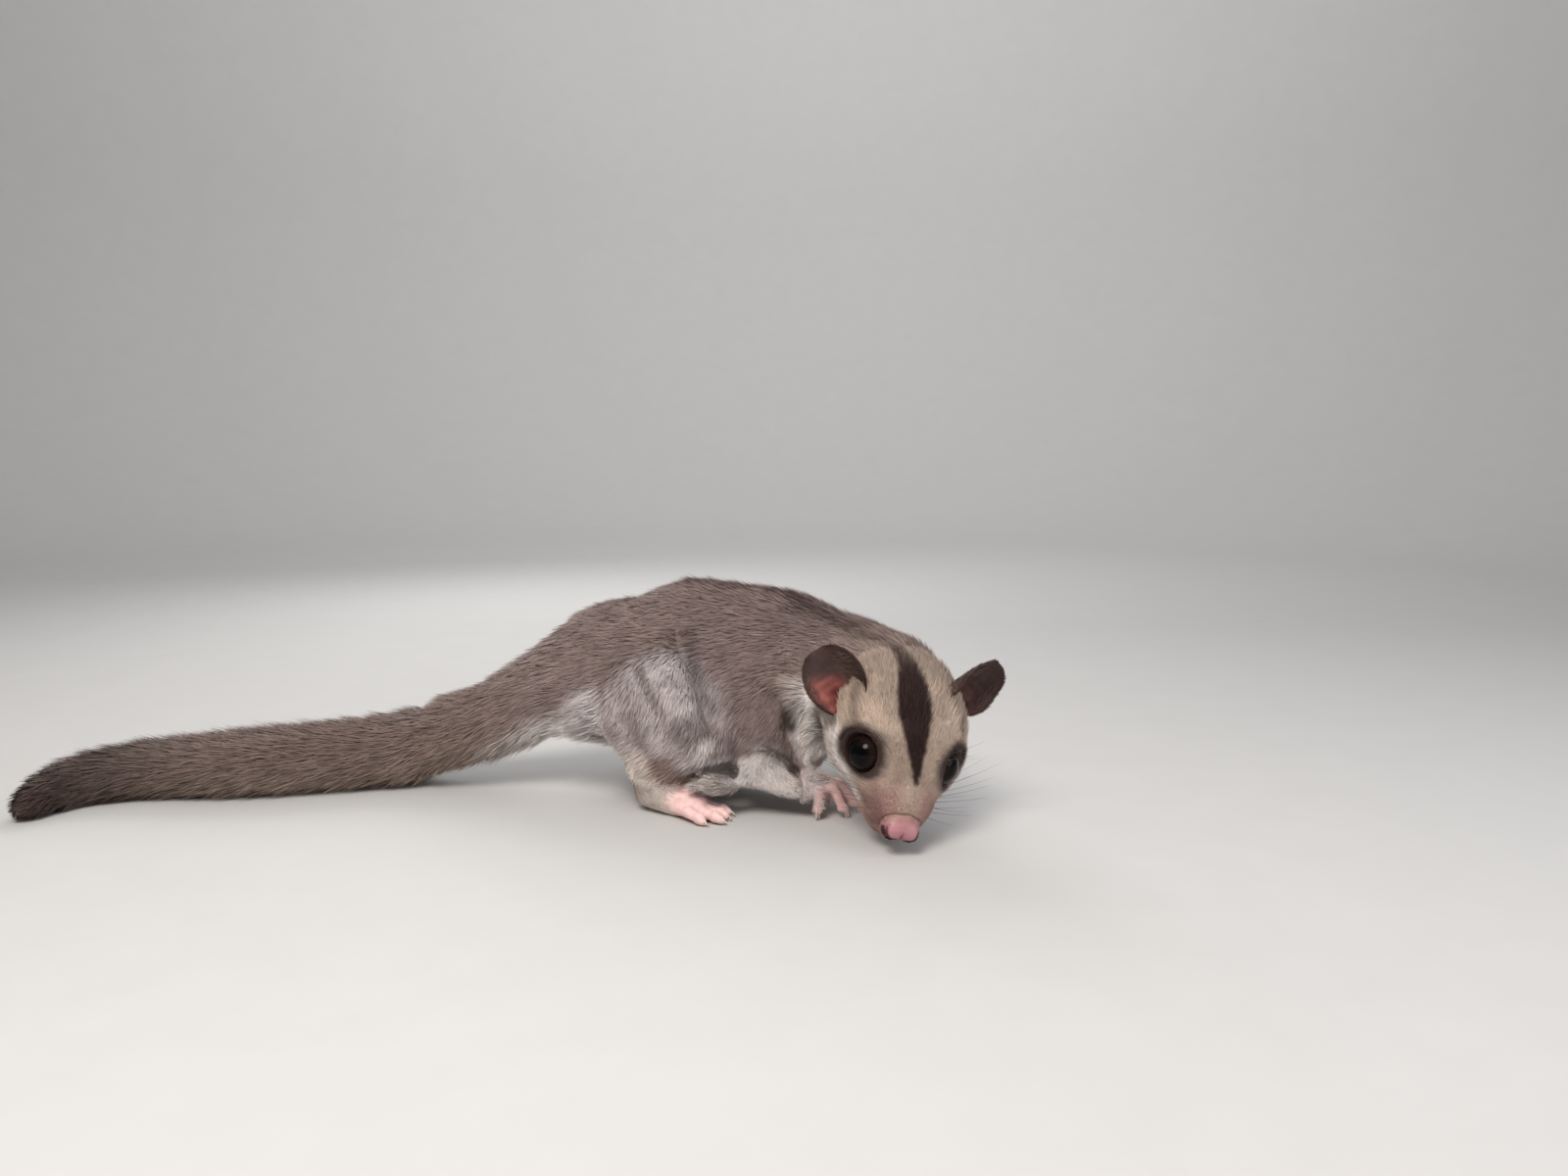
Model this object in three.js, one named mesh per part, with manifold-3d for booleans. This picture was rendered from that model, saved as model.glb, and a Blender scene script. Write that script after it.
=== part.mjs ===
// A sugar glider at life size, crouched on four feet with its nose down and its tail laid out behind.
// Millimetres, +Z up, floor at z = 0. +X runs from tail to head, and -Y is the animal's right side.
// Every surface is the outside of the coat. The head is turned to the animal's right.
import * as THREE from "three";
import { mergeVertices } from "three/addons/utils/BufferGeometryUtils.js";
import Module from "manifold-3d";

const wasm = await Module();
wasm.setup();

// Driving sizes
const gap = 0.3; // left between neighbouring nodes
const weld = 0.04; // edges shorter than this are closed up
const slack = 0.09; // share of a grid cell that a flat stretch of surface may be off by
const floorLevel = 0;
const headScale = 1.06; // at 1.0 the head is 17 from eye line to nose
const headCentre = point(29, -36.6, 24.6);
const headForward = point(-0.003, -0.74, -0.673);
const headRightHint = point(-0.955, -0.21, 0.21);
const eyeRadius = 5.4;
const eyeLocal = [8.1, 5.2, 0.8]; // on the head, before scaling
const gazeLocal = [0.84, 0.42, 0.34];
const lidThickness = 1.1;
const earLength = 16;
const earWidth = 14.8;
const earThickness = 0.9;
const earStance = {
  R: { root: [15.4, -6, 4.8], along: [0.66, -0.64, 0.4], facing: [0.34, 0.5, 0.8] },
  L: { root: [-11.6, -11, 7.2], along: [-0.62, -0.42, 0.66], facing: [-0.5, 0.72, 0.45] },
};
const trunkCell = 6; // grid of the trunk's surface
const headCell = 2.4;
const legCell = 3.3;
const fringeCell = 2.4;
const tailCell = 4.4;
const footCell = 2.2;
const noseCell = 1.2;
const tailSides = 12;
const eyeSides = 16;
const cutSides = 12; // round the shapes that part the body

// The stance, right side and left side. Places are [x, y, z], with a radius where one follows.
const stance = {
  R: {
    sign: 1,
    thigh: [-31, -11.5, 28],
    knee: [-21, -19.5, 20, 6.6],
    ankle: [-35.5, -15, 10, 4.9],
    heel: [-35.5, -14.5, 0],
    footYaw: -33,
    shoulder: [0, -14.5, 26],
    elbow: [-8.5, -21, 11.5, 4.4],
    wrist: [3, -22.5, 7.4, 3.1],
    handYaw: 12,
    flank: [
      [-35, -19, 11, 2.4],
      [-27, -24, 12.5, 3],
      [-20, -24, 9.5, 3.2],
      [-12, -21.5, 9, 3],
    ],
  },
  L: {
    sign: -1,
    thigh: [-33, 21, 27],
    knee: [-22, 28, 19, 6.6],
    ankle: [-38, 25, 10, 4.9],
    heel: [-38, 24.5, 0],
    footYaw: 14,
    shoulder: [10, 12, 27],
    elbow: [11, 21, 13, 4.6],
    wrist: [24, 13.5, 7.4, 3.1],
    handYaw: -14,
    flank: [
      [-37, 29, 11, 2.4],
      [-26, 33, 12, 3],
      [-12, 30, 9.5, 3.2],
      [6, 23, 10, 3],
    ],
  },
};

// Toes and fingers: where each tip stands, from the heel or wrist, forward and to the outside
const toeTips = [
  [20, 4.4],
  [23.3, 1],
  [22.4, -2.4],
  [21, -5.4],
];
const halluxTip = [11.5, -8.6];
const fingerTips = [
  [5.4, 2.8],
  [12.6, 2.8],
  [17, -0.6],
  [16.4, -4.4],
  [10.4, -7.4],
];

function point(x, y, z) {
  return new THREE.Vector3(x, y, z);
}

// Fields: signed distances in millimetres, negative inside, joined by smooth unions

function egg(centre, radii, turn = new THREE.Quaternion()) {
  const back = turn.clone().invert();
  const local = point(0, 0, 0);
  return (p) => {
    local.copy(p).sub(centre).applyQuaternion(back);
    const [x, y, z] = [local.x / radii[0], local.y / radii[1], local.z / radii[2]];
    const reach = Math.hypot(x, y, z);
    const slope = Math.hypot(x / radii[0], y / radii[1], z / radii[2]);
    return reach < 1e-6 ? -Math.min(...radii) : (reach * (reach - 1)) / slope;
  };
}

// A chain of [x, y, z, radius] stations with straight sides between them
function limb(stations) {
  const ends = stations.map(([x, y, z]) => point(x, y, z));
  const axis = ends.slice(1).map((end, i) => end.clone().sub(ends[i]));
  const local = point(0, 0, 0);
  return (p) => {
    let nearest = Infinity;
    for (let i = 0; i < axis.length; i++) {
      local.copy(p).sub(ends[i]);
      const share = THREE.MathUtils.clamp(local.dot(axis[i]) / axis[i].lengthSq(), 0, 1);
      const radius = THREE.MathUtils.lerp(stations[i][3], stations[i + 1][3], share);
      nearest = Math.min(nearest, local.addScaledVector(axis[i], -share).length() - radius);
    }
    return nearest;
  };
}

function blend(width, ...fields) {
  return (p) =>
    fields.reduce((near, field) => {
      const next = field(p);
      const mix = Math.max(width - Math.abs(near - next), 0) / width;
      return Math.min(near, next) - (mix * mix * width) / 4;
    }, Infinity);
}

// Where a ray from inside a field leaves it
function surfacePoint(field, from, direction, reach = 30) {
  let [inside, outside] = [0, reach];
  for (let i = 0; i < 24; i++) {
    const middle = (inside + outside) / 2;
    if (field(from.clone().addScaledVector(direction, middle)) < 0) inside = middle;
    else outside = middle;
  }
  return from.clone().addScaledVector(direction, inside);
}

// Solids

function solidOf(geometry) {
  const bare = geometry.index ? geometry.toNonIndexed() : geometry.clone();
  const only = new THREE.BufferGeometry().setAttribute("position", bare.getAttribute("position"));
  const merged = mergeVertices(only, 1e-4);
  return new wasm.Manifold(
    new wasm.Mesh({
      numProp: 3,
      vertProperties: merged.attributes.position.array,
      triVerts: new Uint32Array(merged.index.array),
    }),
  );
}

function solidFrom(positions, index) {
  const geometry = new THREE.BufferGeometry();
  geometry.setAttribute("position", new THREE.Float32BufferAttribute(positions, 3));
  geometry.setIndex(index);
  return solidOf(geometry);
}

// The largest closed surface of a solid, with its slivers closed up, as it is once its vertices are merged
function largestOf(solid) {
  const largest = (pieces) => pieces.reduce((best, piece) => (piece.volume() > best.volume() ? piece : best));
  return largest(solidOf(geometryOf(largest(solid.simplify(weld).decompose()))).decompose());
}

function geometryOf(solid) {
  const made = solid.getMesh();
  const geometry = new THREE.BufferGeometry();
  geometry.setAttribute("position", new THREE.BufferAttribute(made.vertProperties, 3));
  geometry.setIndex(new THREE.BufferAttribute(made.triVerts, 1));
  return geometry;
}

// A point near the surface, moved on to it, by at most a third of a cell
function settled(field, p, cell) {
  const [here, step] = [field(p), 0.05];
  const slope = point(0, 0, 0);
  for (const axis of ["x", "y", "z"]) {
    p[axis] += step;
    slope[axis] = (field(p) - here) / step;
    p[axis] -= step;
  }
  const move = THREE.MathUtils.clamp(here / Math.max(slope.lengthSq(), 0.2), -cell / 3, cell / 3);
  return p.addScaledVector(slope, -move);
}

// Closes each crevice so narrow that the surface would meet itself along an edge of the grid
function fillPinches(value, count, stride, cell) {
  for (let filled = 1; filled > 0; ) {
    filled = 0;
    for (let i = 0; i < value.length; i++) {
      for (let k = 0; k < 3; k++) {
        const [u, v] = [(k + 1) % 3, (k + 2) % 3];
        const atEnd = [u, v].some((m) => Math.floor(i / stride[m]) % count[m] === count[m] - 1);
        if (atEnd) continue;
        const face = [i, i + stride[u], i + stride[u] + stride[v], i + stride[v]];
        const inside = face.map((n) => value[n] < 0);
        if (inside[0] !== inside[2] || inside[1] !== inside[3] || inside[0] === inside[1]) continue;
        const [a, b] = face.filter((_, n) => !inside[n]);
        value[value[a] < value[b] ? a : b] = -cell * 0.05;
        filled += 1;
      }
    }
  }
}

// The closed surface where a field is zero, with one vertex in each crossed cell of a grid
function skinOf(field, low, high, cell) {
  const count = [0, 1, 2].map((k) => Math.ceil((high[k] - low[k]) / cell) + 1);
  const stride = [1, count[0], count[0] * count[1]];
  const place = (i) => [0, 1, 2].map((k) => Math.floor(i / stride[k]) % count[k]);
  const value = new Float32Array(count[0] * count[1] * count[2]);
  const p = point(0, 0, 0);
  for (let i = 0; i < value.length; i++) {
    const at = place(i);
    p.set(...at.map((n, k) => low[k] + n * cell));
    const border = at.some((n, k) => n === 0 || n === count[k] - 1);
    value[i] = border ? Math.max(field(p), cell * 0.05) : field(p);
  }
  fillPinches(value, count, stride, cell);
  const corners = [0, 1, 2, 3, 4, 5, 6, 7].map((c) => [c & 1, (c >> 1) & 1, c >> 2]);
  const positions = [];
  const vertexOf = new Map();
  for (let i = 0; i < value.length; i++) {
    const at = place(i);
    if (at.some((n, k) => n === count[k] - 1)) continue;
    const sum = [0, 0, 0];
    let crossings = 0;
    corners.forEach((corner) =>
      [0, 1, 2].forEach((k) => {
        if (corner[k]) return;
        const near = i + corner.reduce((s, n, m) => s + n * stride[m], 0);
        const [a, b] = [value[near], value[near + stride[k]]];
        if (a < 0 === b < 0) return;
        corner.forEach((n, m) => (sum[m] += n + (m === k ? a / (a - b) : 0)));
        crossings += 1;
      }),
    );
    if (!crossings) continue;
    vertexOf.set(i, positions.length / 3);
    p.set(...at.map((n, k) => low[k] + (n + sum[k] / crossings) * cell));
    positions.push(...settled(field, p, cell).toArray());
  }
  const index = [];
  const corner = (v) => point(...positions.slice(v * 3, v * 3 + 3));
  for (let i = 0; i < value.length; i++) {
    const at = place(i);
    for (let k = 0; k < 3; k++) {
      if (at.some((n, m) => n === count[m] - 1 || (m !== k && n === 0))) continue;
      const inside = value[i] < 0;
      if (inside === value[i + stride[k]] < 0) continue;
      const [u, v] = [stride[(k + 1) % 3], stride[(k + 2) % 3]];
      const ring = [i, i - u, i - u - v, i - v].map((c) => vertexOf.get(c));
      if (!inside) ring.reverse();
      const [a, b, c, d] = ring;
      const short = corner(a).distanceTo(corner(c)) < corner(b).distanceTo(corner(d));
      index.push(...(short ? [a, b, c, a, c, d] : [a, b, d, b, c, d]));
    }
  }
  return solidFrom(positions, index).simplify(cell * slack);
}

// A closed tube along a smooth curve through [x, y, z, radius] stations
function taperedTube(stations, around, steps) {
  const curve = new THREE.CatmullRomCurve3(stations.map(([x, y, z]) => point(x, y, z)));
  const frames = curve.computeFrenetFrames(steps, false);
  const positions = [];
  const last = stations.length - 1;
  for (let i = 0; i <= steps; i++) {
    const t = curve.getUtoTmapping(i / steps) * last;
    const from = Math.min(Math.floor(t), last - 1);
    const radius = THREE.MathUtils.lerp(stations[from][3], stations[from + 1][3], t - from);
    const centre = curve.getPointAt(i / steps);
    for (let s = 0; s < around; s++) {
      const angle = (2 * Math.PI * s) / around;
      const out = frames.normals[i].clone().multiplyScalar(Math.cos(angle));
      out.addScaledVector(frames.binormals[i], Math.sin(angle));
      positions.push(...centre.clone().addScaledVector(out, radius).toArray());
    }
  }
  const index = [];
  const ring = (i, s) => i * around + (s % around);
  for (let i = 0; i < steps; i++) {
    for (let s = 0; s < around; s++) {
      const [a, b, c, d] = [ring(i, s), ring(i, s + 1), ring(i + 1, s + 1), ring(i + 1, s)];
      index.push(a, b, c, a, c, d);
    }
  }
  for (let s = 1; s < around - 1; s++) {
    index.push(ring(0, 0), ring(0, s + 1), ring(0, s));
    index.push(ring(steps, 0), ring(steps, s), ring(steps, s + 1));
  }
  return solidFrom(positions, index);
}

// A closed sheet of even thickness. place(u, v) gives a point of its middle, for u and v from 0 to 1.
function thickSheet(place, thickness, stepsU, stepsV) {
  const small = 1e-3;
  const normalAt = (u, v) => {
    const alongU = place(Math.min(u + small, 1), v).sub(place(Math.max(u - small, 0), v));
    const alongV = place(u, Math.min(v + small, 1)).sub(place(u, Math.max(v - small, 0)));
    return alongU.cross(alongV).normalize();
  };
  const positions = [];
  for (const face of [0.5, -0.5]) {
    for (let i = 0; i <= stepsU; i++) {
      for (let j = 0; j <= stepsV; j++) {
        const [u, v] = [i / stepsU, j / stepsV];
        positions.push(...place(u, v).addScaledVector(normalAt(u, v), face * thickness).toArray());
      }
    }
  }
  const index = [];
  const back = (stepsU + 1) * (stepsV + 1);
  const at = (i, j) => i * (stepsV + 1) + j;
  for (let i = 0; i < stepsU; i++) {
    for (let j = 0; j < stepsV; j++) {
      const [a, b, c, d] = [at(i, j), at(i + 1, j), at(i + 1, j + 1), at(i, j + 1)];
      index.push(a, b, c, a, c, d);
      index.push(back + a, back + c, back + b, back + a, back + d, back + c);
    }
  }
  const rim = [];
  for (let i = 0; i < stepsU; i++) rim.push(at(i, 0));
  for (let j = 0; j < stepsV; j++) rim.push(at(stepsU, j));
  for (let i = stepsU; i > 0; i--) rim.push(at(i, stepsV));
  for (let j = stepsV; j > 0; j--) rim.push(at(0, j));
  rim.forEach((a, n) => {
    const b = rim[(n + 1) % rim.length];
    index.push(b, a, back + a, b, back + a, back + b);
  });
  return solidFrom(positions, index);
}

function eggSolid(centre, radii, around = cutSides, turn = new THREE.Quaternion()) {
  const geometry = new THREE.SphereGeometry(1, around, Math.round(around * 0.6));
  geometry.scale(...radii).applyQuaternion(turn).translate(...centre.toArray());
  return solidOf(geometry);
}

// Straight tubes from station to station, with a ball at each
function chain(stations, grow) {
  const grown = stations.map(([x, y, z, r]) => [x, y, z, r + grow]);
  const balls = grown.map(([x, y, z, r]) => eggSolid(point(x, y, z), [r, r, r], 10));
  const tubes = grown.slice(1).map((station, i) => taperedTube([grown[i], station], 9, 1));
  return [...balls, ...tubes].reduce((sum, piece) => sum.add(piece));
}

function block(low, high, place = new THREE.Matrix4()) {
  const size = high.map((h, k) => h - low[k]);
  const middle = high.map((h, k) => (h + low[k]) / 2);
  return solidOf(new THREE.BoxGeometry(...size).translate(...middle).applyMatrix4(place));
}

// The head's own frame: x to the animal's right, y to the nose, z to the crown

const headTurn = new THREE.Quaternion();
{
  const forward = headForward.clone().normalize();
  const up = headRightHint.clone().cross(forward).normalize();
  const right = forward.clone().cross(up).normalize();
  headTurn.setFromRotationMatrix(new THREE.Matrix4().makeBasis(right, forward, up));
}

function onHead(x, y, z) {
  return point(x, y, z).multiplyScalar(headScale).applyQuaternion(headTurn).add(headCentre);
}

function headwards(x, y, z) {
  return point(x, y, z).normalize().applyQuaternion(headTurn);
}

function headEgg(centre, radii) {
  return egg(onHead(...centre), radii.map((r) => r * headScale), headTurn);
}

function headStations(stations) {
  return stations.map(([x, y, z, r]) => [...onHead(x, y, z).toArray(), r * headScale]);
}

function headLimb(stations) {
  return limb(headStations(stations));
}

// A foot's or hand's own frame: x forward, y to the outside, z up, from the heel or wrist on the floor
function limbEnd(heel, yawDegrees, sign) {
  const frame = new THREE.Matrix4().makeTranslation(heel[0], heel[1], floorLevel);
  frame.multiply(new THREE.Matrix4().makeRotationZ(THREE.MathUtils.degToRad(yawDegrees)));
  return (x, y, z) => point(x, -sign * y, z).applyMatrix4(frame);
}

// Fields of the body

const headField = blend(
  4.5,
  headEgg([0, -5, -0.5], [17, 15.5, 13]), // cranium
  headEgg([0, 0, -4], [16.6, 12, 10]), // cheeks
  headLimb([
    [0, 5, -2.5, 10.4],
    [0, 12.5, -3.8, 8.4],
    [0, 17, -4.4, 5.2],
  ]), // muzzle
  headLimb([
    [0, -2, -7, 9],
    [0, 13.5, -8.2, 4.8],
  ]), // lower jaw
  ...[1, -1].map((sign) => headEgg([sign * 8, 4.4, 1], [5.2, 6.2, 5.6])), // brows
);

const trunkField = blend(
  9,
  egg(point(-5, -2, 31.4), [25, 20.5, 27.4]), // ribs
  egg(point(-24, 4, 33.6), [24, 22, 27]), // loins
  egg(point(-46, 6, 33), [20, 18.5, 20.5]), // rump
  limb([
    [6, -4, 34, 19],
    [18, -14, 36, 16.6],
    [27, -27, 36, 14.6],
  ]), // shoulders and neck
  limb([
    [-50, 6, 33, 16],
    [-66, 6, 28, 13],
    [-84, 8, 18.5, 11.4],
    [-112, 9, 10.7, 11],
  ]), // root of the tail
);

const sideNames = Object.keys(stance);

function footStations({ heel, footYaw, sign }) {
  const at = limbEnd(heel, footYaw, sign);
  return [
    [...at(0, 0, 4.8).toArray(), 4.3],
    [...at(8, 0, 4.1).toArray(), 4.2],
    [...at(13.5, -0.6, 3.4).toArray(), 3.6],
  ];
}

function handStations({ wrist, handYaw, sign }) {
  const at = limbEnd(wrist, handYaw, sign);
  return [wrist, [...at(4, -0.6, 8.2).toArray(), 3.3], [...at(8, -1.4, 8.2).toArray(), 3]];
}

const bodyField = blend(
  3.5,
  blend(7, trunkField, headField, ...sideNames.map((side) => egg(point(...stance[side].shoulder), [13, 9, 15]))),
  ...sideNames.map((side) => egg(point(...stance[side].thigh), [19, 13, 19.3])),
);

// The coat of one limb or fold, run into the body's
function withHindLeg(side) {
  const { knee, ankle } = stance[side];
  return blend(6, bodyField, limb([knee, ankle, ...footStations(stance[side])]));
}

function withForeLeg(side) {
  return blend(4, bodyField, limb([stance[side].elbow, ...handStations(stance[side])]));
}

function withFlankFold(side) {
  return blend(3, bodyField, limb(stance[side].flank));
}

// Nodes, gathered by name. Each region taken is closed to the nodes that come after it, with the gap.

const solids = new Map();
const floorCut = block([-300, -150, -60], [150, 150, floorLevel]);
let taken = floorCut;

function take(name, skin, region, additions = []) {
  const cut = skin.intersect(region(0)).subtract(taken);
  const whole = additions.reduce((sum, piece) => sum.add(piece), cut).subtract(floorCut);
  solids.set(name, largestOf(whole));
  taken = taken.add(region(gap));
}

// Head: one piece, with sockets for the eyes and the nose, lids, and the line of the mouth between its lips

function lidParts(sign) {
  const centre = onHead(sign * eyeLocal[0], eyeLocal[1], eyeLocal[2]);
  const gaze = headwards(sign * gazeLocal[0], gazeLocal[1], gazeLocal[2]);
  const turn = new THREE.Quaternion().setFromUnitVectors(point(0, 0, 1), gaze);
  const opening = centre.clone().addScaledVector(gaze, eyeRadius);
  return {
    lids: eggSolid(centre, [1, 1, 1].map(() => eyeRadius + lidThickness), eyeSides, turn),
    opening: eggSolid(opening, [5.6, 5.6, 4.1], eyeSides, turn),
    socket: eggSolid(centre, [1, 1, 1].map(() => eyeRadius + gap), eyeSides, turn),
    ball: eggSolid(centre, [1, 1, 1].map(() => eyeRadius), eyeSides, turn),
  };
}

// Half of the mouth's line, from under the nose to one corner, proud of the skin by a height
function mouthLine(sign, radius, height) {
  const steps = 6;
  const stations = [];
  for (let i = -1; i <= steps; i++) {
    const share = i / steps;
    const lean = THREE.MathUtils.degToRad(64 * Math.sin((share * Math.PI) / 2));
    const from = onHead(0, THREE.MathUtils.lerp(18.8, 9, share), -5.2);
    const out = headwards(sign * Math.sin(lean), 0, -Math.cos(lean));
    const narrow = 1 - 0.5 * Math.max(share, 0) ** 3;
    const spot = surfacePoint(headField, from, out).addScaledVector(out, height * narrow);
    stations.push([...spot.toArray(), radius * narrow]);
  }
  return taperedTube(stations, 5, 8);
}

function noseField(grow) {
  const alae = [1, -1].map((sign) => headEgg([sign * 2.1, 21.4, -3.9], [2.5, 2.6, 2.5]));
  const pad = blend(1.2, headEgg([0, 20.2, -3.1], [3.6, 3, 2.9]), ...alae);
  return (p) => pad(p) - grow;
}

const noseLow = onHead(0, 20.2, -3.8).subScalar(8).toArray();
const noseHigh = onHead(0, 20.2, -3.8).addScalar(8).toArray();

function makeHead() {
  const region = (grow) => eggSolid(onHead(0, 9, 0), [30, 30, 30].map((r) => r + grow), 18);
  let skin = skinOf(bodyField, [-12, -72, -6], [60, 0, 64], headCell);
  const eyes = [1, -1].map(lidParts);
  const lips = [1, -1].map((sign) => mouthLine(sign, 1.2, 0));
  const grooves = [1, -1].map((sign) => mouthLine(sign, 0.6, 1));
  eyes.forEach(({ lids }) => (skin = skin.add(lids)));
  lips.forEach((lip) => (skin = skin.add(lip)));
  eyes.forEach(({ opening, socket }) => (skin = skin.subtract(opening).subtract(socket)));
  grooves.forEach((groove) => (skin = skin.subtract(groove)));
  skin = skin.subtract(skinOf(noseField(gap), noseLow, noseHigh, noseCell));
  take("head", skin, region);
  solids.set("eye_R", eyes[0].ball);
  solids.set("eye_L", eyes[1].ball);
}

function makeNose() {
  let nose = skinOf(noseField(0), noseLow, noseHigh, noseCell);
  for (const sign of [1, -1]) {
    const nostril = [
      [sign * 1.5, 24.2, -4.5, 0.75],
      [sign * 2.9, 23.2, -4.3, 0.6],
      [sign * 4.4, 22, -3.5, 0.35],
    ];
    nose = nose.subtract(taperedTube(headStations(nostril), 6, 3));
  }
  solids.set("nose", largestOf(nose));
}

// How far the middle of the ear's back leans forward, from its root to its tip
function earLean(u) {
  return -2 + 3.4 * u - 0.8 * u * u;
}

// An ear is one curled sheet: nearly a tube where it leaves the head, open and rounded at its tip
function makeEar(side, sign, headClear) {
  const { root: spot, along: reach, facing: opening } = earStance[side];
  const root = onHead(...spot);
  const along = headwards(...reach);
  const facing = headwards(...opening);
  facing.addScaledVector(along, -facing.dot(along)).normalize();
  const across = along.clone().cross(facing).multiplyScalar(sign);
  const place = (u, v) => {
    const swell = 0.62 + 0.38 * Math.sin((Math.PI / 2) * Math.min(u * 2, 1));
    const width = (earWidth / 2) * swell * Math.sqrt(1 - Math.max(0, (u - 0.35) / 0.65) ** 2.6);
    const curl = THREE.MathUtils.degToRad(THREE.MathUtils.lerp(95, 46, THREE.MathUtils.smoothstep(u, 0, 0.75)));
    const angle = (v * 2 - 1) * curl;
    const bow = width / Math.max(Math.sin(Math.min(curl, Math.PI / 2)), 0.5);
    return root
      .clone()
      .addScaledVector(along, u * earLength - 2)
      .addScaledVector(across, bow * Math.sin(angle))
      .addScaledVector(facing, earLean(u) + bow * (1 - Math.cos(angle)));
  };
  const sheet = thickSheet((u, v) => place(u * 0.985, sign > 0 ? v : 1 - v), earThickness, 7, 9);
  solids.set(`ear_${side}`, largestOf(sheet.subtract(headClear)));
}

// Legs, feet and hands

const limbBox = [
  [-64, -44, -4],
  [44, 48, 56],
];

function digit(at, root, tip, knuckle, radii) {
  const spots = [
    [root[0], root[1], root[2]],
    [THREE.MathUtils.lerp(root[0], tip[0], 0.5), THREE.MathUtils.lerp(root[1], tip[1], 0.5), knuckle],
    [THREE.MathUtils.lerp(root[0], tip[0], 0.88), THREE.MathUtils.lerp(root[1], tip[1], 0.88), tip[2] + 0.5],
    tip,
  ];
  return taperedTube(spots.map((spot, i) => [...at(...spot).toArray(), radii[i]]), 6, 4);
}

function claw(at, from, to, radius) {
  const middle = from.map((f, k) => (f + to[k]) / 2 + (k === 2 ? radius * 0.9 : 0));
  const stations = [from, middle, to].map((spot, i) => [
    ...at(...spot).toArray(),
    THREE.MathUtils.lerp(radius, radius * 0.25, i / 2),
  ]);
  return taperedTube(stations, 4, 3);
}

function makeFoot(side) {
  const { heel, footYaw, sign } = stance[side];
  const at = limbEnd(heel, footYaw, sign);
  const frame = new THREE.Matrix4().makeTranslation(heel[0], heel[1], 0);
  frame.multiply(new THREE.Matrix4().makeRotationZ(THREE.MathUtils.degToRad(footYaw)));
  const region = (grow) => block([-8 - grow, -8 - grow, -1], [17.5 + grow, 8 + grow, 8.6 + grow], frame);
  const low = [heel[0] - 12, heel[1] - 22, -4];
  const high = [heel[0] + 22, heel[1] + 14, 16];
  const toes = toeTips.flatMap(([x, y]) => [
    digit(at, [9.5, y * 0.5, 3], [x, y, 1.3], 2.5, [1.8, 1.5, 1.3, 0.75]),
    claw(at, [x - 0.6, y, 1.5], [x + 1.8, y, 0.2], 0.55),
  ]);
  const hallux = digit(at, [5, -1, 3.2], [...halluxTip, 1.3], 2.2, [1.9, 1.6, 1.4, 0.8]);
  take(`hind_foot_${side}`, skinOf(withHindLeg(side), low, high, footCell), region, [...toes, hallux]);
}

function makeHand(side) {
  const { wrist, handYaw, sign } = stance[side];
  const at = limbEnd(wrist, handYaw, sign);
  const frame = new THREE.Matrix4().makeTranslation(wrist[0], wrist[1], 0);
  frame.multiply(new THREE.Matrix4().makeRotationZ(THREE.MathUtils.degToRad(handYaw)));
  const region = (grow) => block([1.6 - grow, -6 - grow, 2], [12.5 + grow, 6 + grow, 13 + grow], frame);
  const low = [wrist[0] - 8, wrist[1] - 12, -3];
  const high = [wrist[0] + 20, wrist[1] + 14, 18];
  const fingers = fingerTips.flatMap(([x, y]) => [
    digit(at, [6.5, y * 0.5, 8.2], [x, y, 2.6], 9 - Math.abs(y) * 0.25, [1.45, 1.35, 1.15, 0.8]),
    claw(at, [x - 0.2, y, 3], [x + 0.5, y, -0.1], 0.6),
  ]);
  take(`hand_${side}`, skinOf(withForeLeg(side), low, high, footCell), region, fingers);
}

function outward([x, y, z], sign, distance) {
  return point(x, y - sign * distance, z - 1);
}

function makeHindLeg(side) {
  const { sign, thigh, knee, ankle, heel } = stance[side];
  const shank = [knee, ankle, [...heel.slice(0, 2), 4, 6]].map(([x, y, z, r]) => [x, y, z, r + 2.2]);
  const region = (grow) => {
    const haunch = eggSolid(outward(thigh, sign, 10), [19, 13, 20].map((r) => r + grow));
    return haunch.add(chain(shank, grow));
  };
  take(`hind_leg_${side}`, skinOf(withHindLeg(side), ...limbBox, legCell), region);
}

function makeForeLeg(side) {
  const { sign, shoulder, elbow, wrist } = stance[side];
  const region = (grow) => {
    const upper = eggSolid(outward(shoulder, sign, 7), [11.5, 9, 13].map((r) => r + grow));
    const arm = [shoulder.concat(6), elbow, wrist].map(([x, y, z, r]) => [x, y, z, r + 1.6]);
    return upper.add(chain(arm, grow));
  };
  take(`fore_leg_${side}`, skinOf(withForeLeg(side), ...limbBox, legCell), region);
}

function makeMembrane(side) {
  const region = (grow) => chain(stance[side].flank.map(([x, y, z, r]) => [x, y, z, r + 1.5]), grow);
  take(`glide_membrane_${side}`, skinOf(withFlankFold(side), ...limbBox, fringeCell), region);
}

// Tail, in three lengths

const tailStations = [
  [-84, 8, 18.5, 11.4],
  [-108, 9, 10.8, 11.2],
  [-150, -1, 9, 9.4],
  [-180, -4, 7.4, 7.8],
  [-193, -11, 6.1, 6.6],
  [-198, -21, 4.3, 4.6],
  [-199, -27, 2.4, 1.4],
];
const tailCuts = { root: -60, mid: -100, end: -150 };

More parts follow.
